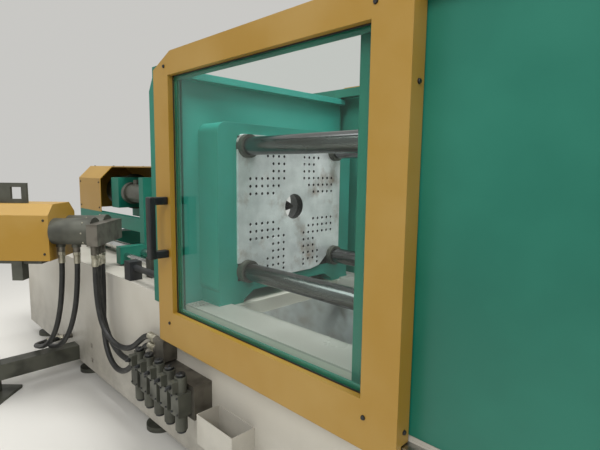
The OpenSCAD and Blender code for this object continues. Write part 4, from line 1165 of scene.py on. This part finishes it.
@dataclass(frozen=True)
class Fastener:
    """A kind of screw or bolt.

    Attributes:
        finish: What it is made of.
        head_diameter: Diameter of its head in metres.
        head_height: Height of its head in metres.
        sides: 6 for a hexagon and 12 for a round head.
        washer_share: Diameter of its washer as a share of the head's.
    """

    finish: Finish
    head_diameter: float
    head_height: float
    sides: int = 12
    washer_share: float = 1.0

    def spread_out(self, name: str, spots: Sequence[Spot], body: str) -> bpy.types.Object:
        """Set the fastener at each spot.

        Args:
            name: Name of the piece.
            spots: Pairs of a place and the direction that it faces.
            body: The body that they ride on.

        Returns:
            The piece.
        """
        data = bpy.data.meshes.new(name)
        data.from_pydata([place for place, _ in spots], [], [])
        facing = data.attributes.new("facing", "FLOAT_VECTOR", "POINT")
        for value, (_, direction) in zip(facing.data, spots):
            value.vector = direction
        tree = bpy.data.node_groups.get("Fasteners") or fastener_tree()
        return bake_tree(name, data, tree, self.finish, body, vars(self))


# Pan head screws of black nylon hold the doors, covers and hoods, and cap screws and bolts the rest.
DOOR_SCREW = Fastener(NYLON, 0.013, 0.005, washer_share=1.15)
HOOD_SCREW = Fastener(NYLON, 0.013, 0.004, washer_share=1.1)
COVER_SCREW = Fastener(NYLON, 0.012, 0.004, washer_share=1.3)
PANEL_SCREW = Fastener(ZINC, 0.012, 0.005, washer_share=1.3)
NUT_SCREW = Fastener(ZINC, 0.010, 0.003, sides=6, washer_share=1.3)
VALVE_SCREW = Fastener(SOOT, 0.009, 0.006)
FLANGE_BOLT = Fastener(ZINC, 0.030, 0.018)
MOTOR_BOLT = Fastener(ZINC, 0.018, 0.011)
CYLINDER_BOLT = Fastener(ZINC, 0.016, 0.010)
BARREL_BOLT = Fastener(SOOT, 0.013, 0.008, sides=6)
GLAND_BOLT = Fastener(ZINC, 0.010, 0.008, sides=6)


# Sub-assemblies


@dataclass
class Studio:
    """Camera, lamps and the pale floor.

    Attributes:
        eye: Place of the camera in metres.
        right: Direction to the right of the picture.
        up: Direction to the top of the picture.
        back: Direction from the machine to the camera.
        lens_mm: Focal length for a sensor 36 mm wide.
        glow: Brightness of the surroundings as they are seen, also in metal and glass.
        level: Brightness of the light that they give.
        floor_z: Height of the floor.
        reach: Half the width of the floor.
    """

    eye: Point = (1.613, -1.581, 0.184)
    right: Point = (0.7078, 0.7063, 0.0120)
    up: Point = (-0.0949, 0.0782, 0.9924)
    back: Point = (0.7000, -0.7036, 0.1224)
    lens_mm: float = 27.0
    glow: float = GLOW
    level: float = 0.42
    floor_z: float = -1.25
    reach: float = 30.0

    def build(self) -> None:
        """Make the camera, the lamps, the world and the floor."""
        self.camera()
        self.lamp("Key", (4.2, -6.5, 5.2), (0.3, -0.3, -0.1), size=3.6, power=330.0)
        self.lamp("Fill", (-4.5, -4.5, 6.5), (-0.6, 0.0, -0.3), size=4.5, power=170.0)
        self.lamp("Back", (-2.0, 6.5, 4.5), (0.3, 0.0, 0.0), size=4.0, power=240.0)
        self.lamp("Top", (1.1, 0.1, 4.6), (0.0, 0.0, 0.0), size=2.4, power=270.0)
        self.world()
        self.floor()

    def camera(self) -> None:
        """Stand the camera where the photograph was taken."""
        data = bpy.data.cameras.new("Camera")
        data.lens = self.lens_mm
        data.sensor_width = 36.0
        data.clip_start = 0.05
        data.clip_end = 200.0
        camera = bpy.data.objects.new("Camera", data)
        turn = Matrix((self.right, self.up, self.back)).transposed()
        camera.matrix_world = Matrix.Translation(self.eye) @ turn.to_quaternion().to_matrix().to_4x4()
        bpy.context.scene.collection.objects.link(camera)
        bpy.context.scene.camera = camera

    def lamp(self, name: str, at: Point, towards: Point, size: float, power: float) -> None:
        """Hang a soft square lamp.

        Args:
            name: Name of the lamp.
            at: Its place in metres.
            towards: What it looks at.
            size: Its width in metres.
            power: Its power in watts.
        """
        data = bpy.data.lights.new(name, "AREA")
        data.size = size
        data.energy = power
        lamp = bpy.data.objects.new(name, data)
        lamp.location = at
        lamp.rotation_mode = "QUATERNION"
        lamp.rotation_quaternion = (Vector(towards) - Vector(at)).to_track_quat("-Z", "Y")
        bpy.context.scene.collection.objects.link(lamp)

    def world(self) -> None:
        """Make the surroundings pale, and light the machine at a plain level."""
        world = bpy.data.worlds.new("Studio")
        world.use_nodes = True
        tree = world.node_tree
        tree.nodes.clear()
        rays = add(tree, "ShaderNodeLightPath").outputs
        seen = rays["Is Camera Ray"]
        for kind in ("Is Glossy Ray", "Is Transmission Ray"):
            seen = add(tree, "ShaderNodeMath", {0: seen, 1: rays[kind]}, operation="MAXIMUM")
        level = add(tree, "ShaderNodeMapRange", {"Value": seen, "To Min": self.level, "To Max": self.glow})
        sky = add(tree, "ShaderNodeBackground", {"Color": Tone.SURROUNDINGS, "Strength": level})
        add(tree, "ShaderNodeOutputWorld", {"Surface": sky})
        bpy.context.scene.world = world

    def floor(self) -> None:
        """Lay the pale floor."""
        data = bpy.data.meshes.new("Floor")
        square = ((-1, -1), (1, -1), (1, 1), (-1, 1))
        corners = [(x * self.reach, y * self.reach, self.floor_z) for x, y in square]
        data.from_pydata(corners, [], [(0, 1, 2, 3)])
        floor = bpy.data.objects.new("Floor", data)
        bpy.context.scene.collection.objects.link(floor)
        data.materials.append(FLOOR.make())


@dataclass(frozen=True)
class HoseRun:
    """A hydraulic hose from one fitting to the next.

    Attributes:
        node: The CAD node that it replaces.
        route: Points of its centreline in millimetres.
        radius: Radius of the hose in metres.
        grooves: Number of grooves that the crimping leaves in a sleeve.
    """

    node: str
    route: tuple[Point, ...]
    radius: float = 0.015
    grooves: int = 5

    def build(self) -> None:
        """Make the hose and its two crimped ends."""
        path = smooth_path([tuple(v / 1000 for v in p) for p in self.route], steps=4)
        hose = Shape().tube(path, self.radius, sides=16)
        hose = hose.place(self.node + "_tube", RUBBER, "machine", sharp=60)
        ends = [self.ferrule("start", path[0], path[2]), self.ferrule("end", path[-1], path[-3])]
        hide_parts(self.node)

    def ferrule(self, label: str, at: Vector, inward: Vector) -> bpy.types.Object:
        """Crimp a sleeve and a swivel nut on one end.

        Args:
            label: Which end it is.
            at: End of the hose.
            inward: A point further along the hose.

        Returns:
            The fitting.
        """
        along = tuple((inward - at).normalized())
        # An outline pairs a distance from the hose's end with how far the metal stands past the hose.
        flat, ridge, groove = 0.006, 0.0035, 0.0022
        nut = [(0.001, 0.003), (0.001, 0.0045), (0.003, flat), (0.018, flat), (0.020, 0.0045)]
        crimp = ((0.0, ridge), (0.001, groove), (0.003, groove), (0.004, ridge))
        sleeve = [(0.020, 0.001), (0.021, ridge)]
        for k in range(self.grooves):
            start = 0.024 + 0.008 * k
            sleeve += [(start + step, out) for step, out in crimp]
        sleeve += [(0.066, 0.003), (0.067, 0.0008)]
        shape = Shape()
        for outline, sides in ((nut, 6), (sleeve, 20)):
            profile = [(place, self.radius + out) for place, out in outline]
            shape.lathe(profile, tuple(at), along, sides)
        return shape.place(f"{self.node}_{label}_fitting", ZINC, "machine", sharp=30)


HOSES = (
    HoseRun(
        "hose_a",
        (
            (-930, -640, -300), (-930, -640, -380), (-930, -640, -460), (-928, -638, -540),
            (-920, -634, -615), (-900, -628, -685), (-862, -618, -742), (-805, -606, -778),
            (-735, -596, -788), (-665, -588, -776), (-600, -582, -746), (-545, -578, -706),
            (-490, -575, -668), (-425, -575, -647), (-370, -575, -647),
        ),
    ),
    HoseRun(
        "hose_b",
        (
            (-960, -610, -300), (-960, -610, -380), (-960, -610, -460), (-958, -608, -540),
            (-952, -604, -620), (-938, -598, -698), (-908, -590, -768), (-858, -582, -822),
            (-792, -576, -852), (-718, -573, -856), (-645, -572, -836), (-580, -573, -798),
            (-524, -574, -750), (-476, -575, -712), (-425, -575, -695), (-370, -575, -695),
        ),
    ),
    HoseRun(
        "hose_c",
        (
            (-992, -576, -300), (-992, -576, -380), (-992, -576, -460), (-992, -577, -540),
            (-990, -580, -620), (-984, -585, -700), (-968, -590, -778), (-932, -594, -848),
            (-876, -597, -900), (-806, -599, -925), (-732, -600, -922), (-664, -600, -896),
            (-606, -600, -856), (-562, -600, -818), (-520, -600, -805), (-480, -600, -805),
        ),
    ),
    HoseRun(
        "hose_d_left",
        (
            (-1090, -680, -300), (-1090, -680, -370), (-1094, -682, -450), (-1104, -685, -530),
            (-1122, -688, -608), (-1150, -692, -683), (-1188, -696, -754), (-1236, -700, -818),
            (-1294, -704, -874), (-1360, -708, -920), (-1432, -710, -955), (-1508, -710, -980),
            (-1580, -710, -996), (-1650, -700, -1004), (-1702, -660, -1010), (-1720, -615, -1010),
            (-1720, -590, -1010),
        ),
    ),
    HoseRun(
        "hose_e_left",
        (
            (-1160, -740, -300), (-1160, -740, -370), (-1164, -742, -450), (-1174, -745, -530),
            (-1192, -748, -608), (-1220, -751, -683), (-1258, -754, -754), (-1306, -757, -818),
            (-1364, -760, -874), (-1430, -762, -920), (-1502, -763, -958), (-1578, -763, -988),
            (-1655, -763, -1010), (-1730, -757, -1030), (-1800, -732, -1048), (-1846, -688, -1059),
            (-1860, -636, -1060), (-1860, -590, -1060),
        ),
    ),
)


@dataclass
class SlidingDoor:
    """Guard door with a clear pane, on one side of the machine.

    Attributes:
        side: The side that it is on.
        angle_wide: Width of the angle that holds the pane.
        angle_deep: Depth of that angle.
        bead_wide: Width of the black bead round the pane.
        bead_high: How far the bead stands on the pane.
        gap: Gap between the pane and the bead, and between the door and its handle.
        angle_gap: Gap between the pane and its angle.
        screws_x: Places of the face's screws from the pane's two ends.
        screws_z: Places of the face's screws from the pane's lower and upper edge.
        flank: Plane in x of the frame's flank, and distance of its screws from the middle.
        flank_z: Heights of the flank's screws.
        grip: Depth of the handle's grip as a share of its width.
        foot_in: How far the handle's feet end behind the grip's face.
        foot_less: How much the feet stand in from the grip's sides, and from its ends.
    """

    side: Side
    angle_wide: float = 0.020
    angle_deep: float = 0.006
    bead_wide: float = 0.005
    bead_high: float = 0.004
    gap: float = 0.0002
    angle_gap: float = 0.0003
    screws_x: tuple[float, float] = (-0.030, 0.012)
    screws_z: tuple[float, float] = (-0.052, 0.040)
    flank: tuple[float, float] = (1.010, 0.565)
    flank_z: tuple[float, float] = (0.404, -0.522)
    grip: float = 0.85
    foot_in: float = 0.004
    foot_less: tuple[float, float] = (0.0015, 0.001)

    def strips(self, low: Vector, high: Vector, width: float, y: tuple[float, float], edge: float) -> Shape:
        """Make four strips round an opening, on its inner side.

        Args:
            low: Lowest corner of the opening.
            high: Highest corner of the opening.
            width: Width of a strip.
            y: Where the strips start and end.
            edge: Radius of their edges.

        Returns:
            The shape.
        """
        shape = Shape()
        a, b = y
        shape.box((low.x, a, low.z), (high.x, b, low.z + width), edge)
        shape.box((low.x, a, high.z - width), (high.x, b, high.z), edge)
        shape.box((low.x, a, low.z + width), (low.x + width, b, high.z - width), edge)
        shape.box((high.x - width, a, low.z + width), (high.x, b, high.z - width), edge)
        return shape

    def build(self) -> None:
        """Dress the door."""
        body = f"{self.side.label}_door"
        low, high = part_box(f"{body}_window")
        near, far = sorted((abs(low.y), abs(high.y)))
        depth = self.side.out(near - self.angle_deep, near - self.angle_gap)
        strips = self.strips(low, high, self.angle_wide, depth, edge=0.001)
        strips.place(f"{body}_pane_angle", GREEN, body)
        depth = self.side.out(far + self.gap, far + self.bead_high)
        strips = self.strips(low, high, self.bead_wide, depth, edge=0.0012)
        strips.place(f"{body}_pane_bead", NYLON, body)
        self.handle(body)
        skin = self.side.value * max(abs(corner.y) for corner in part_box(f"{body}_frame"))
        xs = (low.x + self.screws_x[0], high.x + self.screws_x[1])
        zs = (low.z + self.screws_z[0], high.z + self.screws_z[1])
        spots = [((x, skin, z), self.side.outward) for x in xs for z in zs]
        x, y = self.flank
        spots += [((x, self.side.value * y, z), (1.0, 0.0, 0.0)) for z in self.flank_z]
        DOOR_SCREW.spread_out(f"{body}_screws", spots, body)

    def handle(self, body: str) -> None:
        """Mould the pull handle with its feet.

        Args:
            body: The door that it rides on.
        """
        low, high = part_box(f"{body}_handle")
        near, far = sorted((abs(low.y), abs(high.y)))
        thick = high.x - low.x
        y0, y1 = self.side.out(far - thick * self.grip, far)
        shape = Shape().box((low.x, y0, low.z), (high.x, y1, high.z), edge=0.006, steps=3)
        y0, y1 = self.side.out(near + self.gap, far - self.foot_in)
        aside, rise = self.foot_less
        for z0, z1 in ((low.z, low.z + thick), (high.z - thick, high.z)):
            corners = ((low.x + aside, y0, z0 + rise), (high.x - aside, y1, z1 - rise))
            shape.box(*corners, edge=0.005, steps=3)
        handle = shape.place(f"{body}_pull", NYLON, body, sharp=50)
        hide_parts(f"{body}_handle")


@dataclass
class Clamp:
    """Platens, tie bars and the clamp cylinder.

    Attributes:
        flange: How far the cylinder's flange stands out from the rear platen.
        flange_circle: Radius of the flange's bolt circle.
        flange_bolts: Number of its bolts.
        bar_y: Distance of the tie bars from the middle, sideways.
        bar_z: Distance of the tie bars from the middle, upwards.
        rear_nut: How far a nut stands out from the rear platen.
        front_nut_x: Plane of the nuts on the fixed platen's injection side.
        nut_circle: Radius of the circle of set screws in a nut.
        nut_screws: Number of set screws in a nut.
        eyes_x: Places of the lifting eyes along the machine.
        eye_y: Distance of a lifting eye from the middle.
        eye_rise: Height of its ring's middle over the platen.
        eye_ring: Radius of the ring.
        eye_wire: Radius of the ring's bar.
    """

    flange: float = 0.050
    flange_circle: float = 0.243
    flange_bolts: int = 16
    bar_y: float = 0.300
    bar_z: float = 0.285
    rear_nut: float = 0.074
    front_nut_x: float = -0.234
    nut_circle: float = 0.0525
    nut_screws: int = 8
    eyes_x: tuple[float, float] = (0.98, 1.42)
    eye_y: float = 0.160
    eye_rise: float = 0.030
    eye_ring: float = 0.017
    eye_wire: float = 0.005

    def build(self) -> None:
        """Dress the clamp."""
        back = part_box("rear_platen")[1].x
        middle = (back + self.flange, 0, 0)
        half_step = 180 / self.flange_bolts
        spots = circle_spots(middle, self.flange_circle, self.flange_bolts, (1, 0, 0), half_step)
        FLANGE_BOLT.spread_out("cylinder_flange_bolts", spots, "machine")
        spots = []
        for y in (-self.bar_y, self.bar_y):
            for z in (-self.bar_z, self.bar_z):
                for x, way in ((back + self.rear_nut, 1), (self.front_nut_x, -1)):
                    spots += circle_spots((x, y, z), self.nut_circle, self.nut_screws, (way, 0, 0))
        NUT_SCREW.spread_out("tie_bar_nut_screws", spots, "machine")
        self.eyes("moving_platen", "moving_half", self.eyes_x[0])
        self.eyes("rear_platen", "machine", self.eyes_x[1])

    def eyes(self, node: str, body: str, x: float) -> None:
        """Screw two lifting eyes into the top of a platen.

        Args:
            node: The platen.
            body: The body that it belongs to.
            x: Place of the eyes along the machine.
        """
        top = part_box(node)[1].z
        collar = [(0, 0.013), (0, 0.017), (0.006, 0.017), (0.009, 0.011), (0.016, 0.009)]
        centre = top + self.eye_rise
        shape = Shape()
        for y in (-self.eye_y, self.eye_y):
            shape.lathe(collar, (x, y, top), (0, 0, 1), sides=16)
            ring = [around(self.eye_ring, degrees) for degrees in range(8, 360, 16)]
            shape.tube([Vector((x, y + v, centre - u)) for u, v in ring], self.eye_wire, sides=8)
        shape.place(f"{node}_eyes", SOOT, body)


@dataclass
class Covers:
    """Sheet covers over the clamp, with their screws.

    Attributes:
        pitch: Distance between the screws along an edge, before it is made even.
        inset: Distance of the end screws from the sheet's ends.
        rise: Distance of the screws from the sheet's lower edge.
    """

    pitch: float = 0.42
    inset: float = 0.06
    rise: float = 0.03

    def build(self) -> None:
        """Dress the covers."""
        for side in Side:
            low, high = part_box(f"{side.label}_clamp_cover")
            skin = side.value * max(abs(low.y), abs(high.y))
            count = int((high.x - low.x) / self.pitch)
            step = (high.x - low.x - 2 * self.inset) / count
            xs = [low.x + self.inset + k * step for k in range(count + 1)]
            spots = [((x, skin, low.z + self.rise), side.outward) for x in xs]
            COVER_SCREW.spread_out(f"{side.label}_cover_screws", spots, "machine")


@dataclass
class Base:
    """Welded base: its lift-off panels and their louvres.

    Attributes:
        wall_y: Distance of its sides from the middle.
        sheet: Thickness of a panel.
        below: Distance of the panels from the base's lower edge.
        above: Distance of the panels from its upper edge.
        screw_in: How far a panel's screws stand in from its ends, and from its upper and lower edge.
        far_panels: Where the panels of the far side start and end.
        near_panels: The same on the near side.
        louvres_x: Places of the rows of louvres.
        louvres_z: Height of their lowest slat.
        louvres_out: How far a slat's middle stands out from a panel.
    """

    wall_y: float = 0.530
    sheet: float = 0.0025
    below: float = 0.10
    above: float = 0.12
    screw_in: tuple[float, float] = (0.025, 0.03)
    far_panels: tuple[tuple[float, float], ...] = (
        (-2.55, -1.75),
        (-1.72, -0.92),
        (-0.89, 0.09),
        (0.95, 1.75),
        (1.78, 2.52),
    )
    near_panels: tuple[tuple[float, float], ...] = ((0.96, 1.75), (1.78, 2.52))
    louvres_x: tuple[float, float] = (1.35, 2.15)
    louvres_z: float = -0.99
    louvres_out: float = 0.003

    def build(self) -> None:
        """Dress the base."""
        low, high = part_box("base_frame")
        z0, z1 = low.z + self.below, high.z - self.above
        aside, rise = self.screw_in
        spots = []
        shape = Shape()
        for side, panels in ((Side.FAR, self.far_panels), (Side.NEAR, self.near_panels)):
            y0, y1 = side.out(self.wall_y, self.wall_y + self.sheet)
            skin = side.value * (self.wall_y + self.sheet)
            for x0, x1 in panels:
                shape.box((x0, y0, z0), (x1, y1, z1), edge=0.0008, steps=1)
                corners = [(x, z) for x in (x0 + aside, x1 - aside) for z in (z0 + rise, z1 - rise)]
                spots += [((x, skin, z), side.outward) for x, z in corners]
        shape.place("base_panels", GREY, "machine")
        PANEL_SCREW.spread_out("base_panel_screws", spots, "machine")
        self.louvres()

    def louvres(self) -> None:
        """Set the louvres on the clamp end's panels."""
        y = self.wall_y + self.sheet + self.louvres_out
        data = bpy.data.meshes.new("louvres")
        sides = (Side.FAR, Side.NEAR)
        spots = [(x, side.value * y, self.louvres_z) for x in self.louvres_x for side in sides]
        data.from_pydata(spots, [], [])
        sizes = {"length": 0.42, "count": 9, "pitch": 0.026, "depth": 0.010}
        bake_tree("base_louvres", data, louvre_tree(), GREY, "machine", sizes)


@dataclass
class Valves:
    """Solenoid valves on their manifold under the near door.

    Attributes:
        count: Number of valves.
        pitch: Distance from one valve to the next.
        first_x: Middle of the first valve.
        face_y: The manifold's face that they are screwed to.
        axis_z: Height of the valves' middle.
        screw: Distances of a screw from the valve's middle: out, sideways and upwards.
        coil: Distances of a coil's nut from the middle: out and upwards.
        plug: Distances of the plug's gland from the middle: out and upwards.
    """

    count: int = 5
    pitch: float = 0.094
    first_x: float = -0.388
    face_y: float = -0.620
    axis_z: float = -0.805
    screw: Point = (0.062, 0.022, 0.036)
    coil: tuple[float, float] = (0.031, 0.118)
    plug: tuple[float, float] = (0.079, 0.085)

    def build(self) -> None:
        """Dress the valves."""
        cap = [(0, 0.016), (0, 0.019), (0.003, 0.021), (0.011, 0.021), (0.014, 0.018)]
        cap += [(0.014, 0.006), (0.019, 0.005)]
        gland = [(0, 0.009), (0.004, 0.010), (0.012, 0.010), (0.014, 0.007), (0.020, 0.0065), (0.024, 0.004)]
        out, aside, rise = self.screw
        spots = []
        caps, glands = Shape(), Shape()
        for k in range(self.count):
            x = self.first_x + k * self.pitch
            corners = [(x + dx, self.axis_z + dz) for dx in (-aside, aside) for dz in (-rise, rise)]
            spots += [((cx, self.face_y - out, cz), Side.NEAR.outward) for cx, cz in corners]
            for way in (-1, 1):
                tip = self.axis_z + way * self.coil[1]
                caps.lathe(cap, (x, self.face_y - self.coil[0], tip), (0, 0, way), sides=12)
            plug = (x, self.face_y - self.plug[0], self.axis_z + self.plug[1])
            glands.lathe(gland, plug, Side.NEAR.outward, sides=8)
        VALVE_SCREW.spread_out("valve_screws", spots, "machine")
        caps.place("valve_coil_nuts", NYLON, "machine")
        glands.place("valve_plug_glands", NYLON, "machine")


@dataclass
class InjectionUnit:
    """Barrel, cylinders, hood and hopper on their carriage.

    Attributes:
        hood_y: Distance of the hood's sides from the middle.
        hood_z: Heights of the screws in its sides.
        inset: Distance of its end screws from its ends.
        rib_x: Place of its second row of screws.
        far_x: Place of the row that only the far side has.
        top_y: Distance of its top's screws from the middle.
        cylinder_y: Distance of the injection cylinders from the middle.
        cylinder_circle: Radius of a cylinder's bolt circle.
        bolts: Number of bolts of each cylinder, and of the barrel's head.
        barrel_circle: Radius of the barrel head's bolt circle.
        motor_flange: Where the motor's bolts sit, from its end.
        motor_circle: Radius of the motor's bolt circle.
        motor_bolts: Number of its bolts.
        hopper_x: Place of the hopper's axis.
        band_r: Radius of the band round the hopper.
        band_z: Height of the band.
        band_wire: Half the thickness of the band.
    """

    hood_y: float = 0.24
    hood_z: tuple[float, float] = (-0.12, 0.07)
    inset: float = 0.03
    rib_x: float = -1.873
    far_x: float = -1.55
    top_y: float = 0.12
    cylinder_y: float = 0.115
    cylinder_circle: float = 0.062
    bolts: int = 8
    barrel_circle: float = 0.052
    motor_flange: float = 0.06
    motor_circle: float = 0.098
    motor_bolts: int = 10
    hopper_x: float = -1.07
    band_r: float = 0.181
    band_z: float = 0.60
    band_wire: float = 0.004

    def build(self) -> None:
        """Dress the injection unit."""
        body = "injection_carriage"
        self.hood(body)
        end, half_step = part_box("injection_cylinders")[0].x, 180 / self.bolts
        spots = []
        for y in (-self.cylinder_y, self.cylinder_y):
            spots += circle_spots((end, y, 0), self.cylinder_circle, self.bolts, (-1, 0, 0), half_step)
        CYLINDER_BOLT.spread_out("injection_cylinder_bolts", spots, body)
        spots = circle_spots((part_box("barrel")[1].x, 0, 0), self.barrel_circle, self.bolts, (1, 0, 0))
        BARREL_BOLT.spread_out("barrel_head_bolts", spots, body)
        ring = [around(self.band_r, degrees) for degrees in range(0, 361, 10)]
        band = [Vector((self.hopper_x + u, v, self.band_z)) for u, v in ring]
        Shape().tube(band, self.band_wire, sides=8).place("hopper_band", MACHINED, body)
        middle = (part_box("screw_motor")[0].x + self.motor_flange, 0, 0)
        spots = circle_spots(middle, self.motor_circle, self.motor_bolts, (-1, 0, 0))
        MOTOR_BOLT.spread_out("motor_bolts", spots, "screw_drive")

    def hood(self, body: str) -> None:
        """Screw the hood down.

        Args:
            body: The body that it rides on.
        """
        low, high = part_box("injection_hood")
        start, end = low.x + self.inset, high.x - self.inset
        spots = []
        for side, xs in ((Side.NEAR, (start, self.rib_x)), (Side.FAR, (start, self.rib_x, self.far_x, end))):
            spots += [((x, side.value * self.hood_y, z), side.outward) for x in xs for z in self.hood_z]
        tops = [(x, y) for x in (start, self.rib_x, end) for y in (-self.top_y, self.top_y)]
        spots += [((x, y, high.z), (0.0, 0.0, 1.0)) for x, y in tops]
        HOOD_SCREW.spread_out("hood_screws", spots, body)


@dataclass
class SideUnit:
    """The injection unit that stands at 45 degrees beside the machine.

    Attributes:
        at: Where its own axes start, in the machine's frame.
        hood_half: Half the width of its hood.
        hood_u: Places of the hood's screws along the unit.
        hood_z: Heights of the hood's screws.
        cylinder_u: The cylinders' end along the unit.
        cylinder_v: Distance of a cylinder's axis from the unit's.
        cylinder_z: Height of the cylinders.
        gland_circle: Radius of a cylinder's bolt circle.
        gland_bolts: Number of its bolts.
    """

    at: tuple[float, float] = (-1.233, -0.705)
    hood_half: float = 0.15
    hood_u: tuple[float, ...] = (-0.028, -0.35, -0.67)
    hood_z: tuple[float, float] = (-0.115, -0.305)
    cylinder_u: float = 0.19
    cylinder_v: float = 0.085
    cylinder_z: float = -0.182
    gland_circle: float = 0.0785
    gland_bolts: int = 8

    def spot(self, u: float, v: float, z: float) -> Point:
        """Turn a place in the unit's own axes into the machine's frame.

        Args:
            u: Place along the unit.
            v: Place across the unit.
            z: Height.

        Returns:
            The place.
        """
        return (self.at[0] + (u - v) * DIAGONAL, self.at[1] + (u + v) * DIAGONAL, z)

    def build(self) -> None:
        """Dress the side unit."""
        places = [(u, z) for u in self.hood_u for z in self.hood_z]
        spots = []
        for way in (-1, 1):
            outward = (-way * DIAGONAL, way * DIAGONAL, 0.0)
            spots += [(self.spot(u, way * self.hood_half, z), outward) for u, z in places]
        HOOD_SCREW.spread_out("side_hood_screws", spots, "machine")
        spots = []
        for v in (-self.cylinder_v, self.cylinder_v):
            centre = self.spot(self.cylinder_u, v, self.cylinder_z)
            spots += circle_spots(centre, self.gland_circle, self.gland_bolts, (-DIAGONAL, -DIAGONAL, 0))
        GLAND_BOLT.spread_out("side_cylinder_bolts", spots, "machine")


@dataclass
class OperatorPanel:
    """Control panel: its screen and its keys.

    Attributes:
        face_y: Plane of the panel's upright face.
        screen: Lowest and highest x and z of the screen.
        screen_in: How far the screen's back and front stand in from that face.
        rows: Number of rows of keys.
        columns: Number of keys in a row.
        first: Place of the first key in x and z.
        key: Width, height and half the thickness of a key.
        pitch: Distance between the keys of a row, and between the rows.
        desk: Height of the sloping desk's lower edge, and its height.
        desk_y: Plane of the desk's lower edge, and how far it leans back.
    """

    face_y: float = 0.665
    screen: tuple[float, float, float, float] = (-0.815, -0.605, 0.305, 0.515)
    screen_in: tuple[float, float] = (0.004, 0.0015)
    rows: int = 4
    columns: int = 9
    first: tuple[float, float] = (-0.800, 0.155)
    key: Point = (0.014, 0.009, 0.004)
    pitch: tuple[float, float] = (0.020, 0.014)
    desk: tuple[float, float] = (0.10, 0.15)
    desk_y: tuple[float, float] = (0.725, 0.060)

    def build(self) -> None:
        """Dress the panel."""
        body = "control_panel"
        x0, x1, z0, z1 = self.screen
        y0, y1 = (self.face_y - depth for depth in self.screen_in)
        screen = Shape().box((x0, y0, z0), (x1, y1, z1), edge=0.001, steps=1)
        screen.place("panel_screen", SCREEN, body)
        wide, high, half = self.key
        keys = Shape()
        for row in range(self.rows):
            z = self.first[1] + row * self.pitch[1]
            face = self.desk_y[0] - self.desk_y[1] * (z - self.desk[0]) / self.desk[1]
            for column in range(self.columns):
                x = self.first[0] + column * self.pitch[0]
                corners = ((x, face - half, z), (x + wide, face + half, z + high))
                keys.box(*corners, edge=0.001, steps=1)
        keys.place("panel_keys", NYLON, body)


def dress_nodes() -> None:
    """Give each CAD node the material of its finish."""
    for finish, names in NODES_OF_FINISH:
        for name in names:
            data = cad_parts[name].data
            data.materials.clear()
            data.materials.append(finish.make())
            LOG.info("%s: %s", name, finish.name)


def main() -> None:
    """Build the scene, piece by piece."""
    logging.basicConfig(level=logging.INFO, format="%(name)s: %(message)s")
    bpy.context.scene.view_settings.view_transform = "Standard"
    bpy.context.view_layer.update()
    Studio().build()
    for hose in HOSES:
        hose.build()
    dress_nodes()
    for side in Side:
        SlidingDoor(side).build()
    for assembly in (Clamp(), Covers(), Base(), Valves(), InjectionUnit(), SideUnit(), OperatorPanel()):
        assembly.build()


if __name__ == "__main__":
    main()
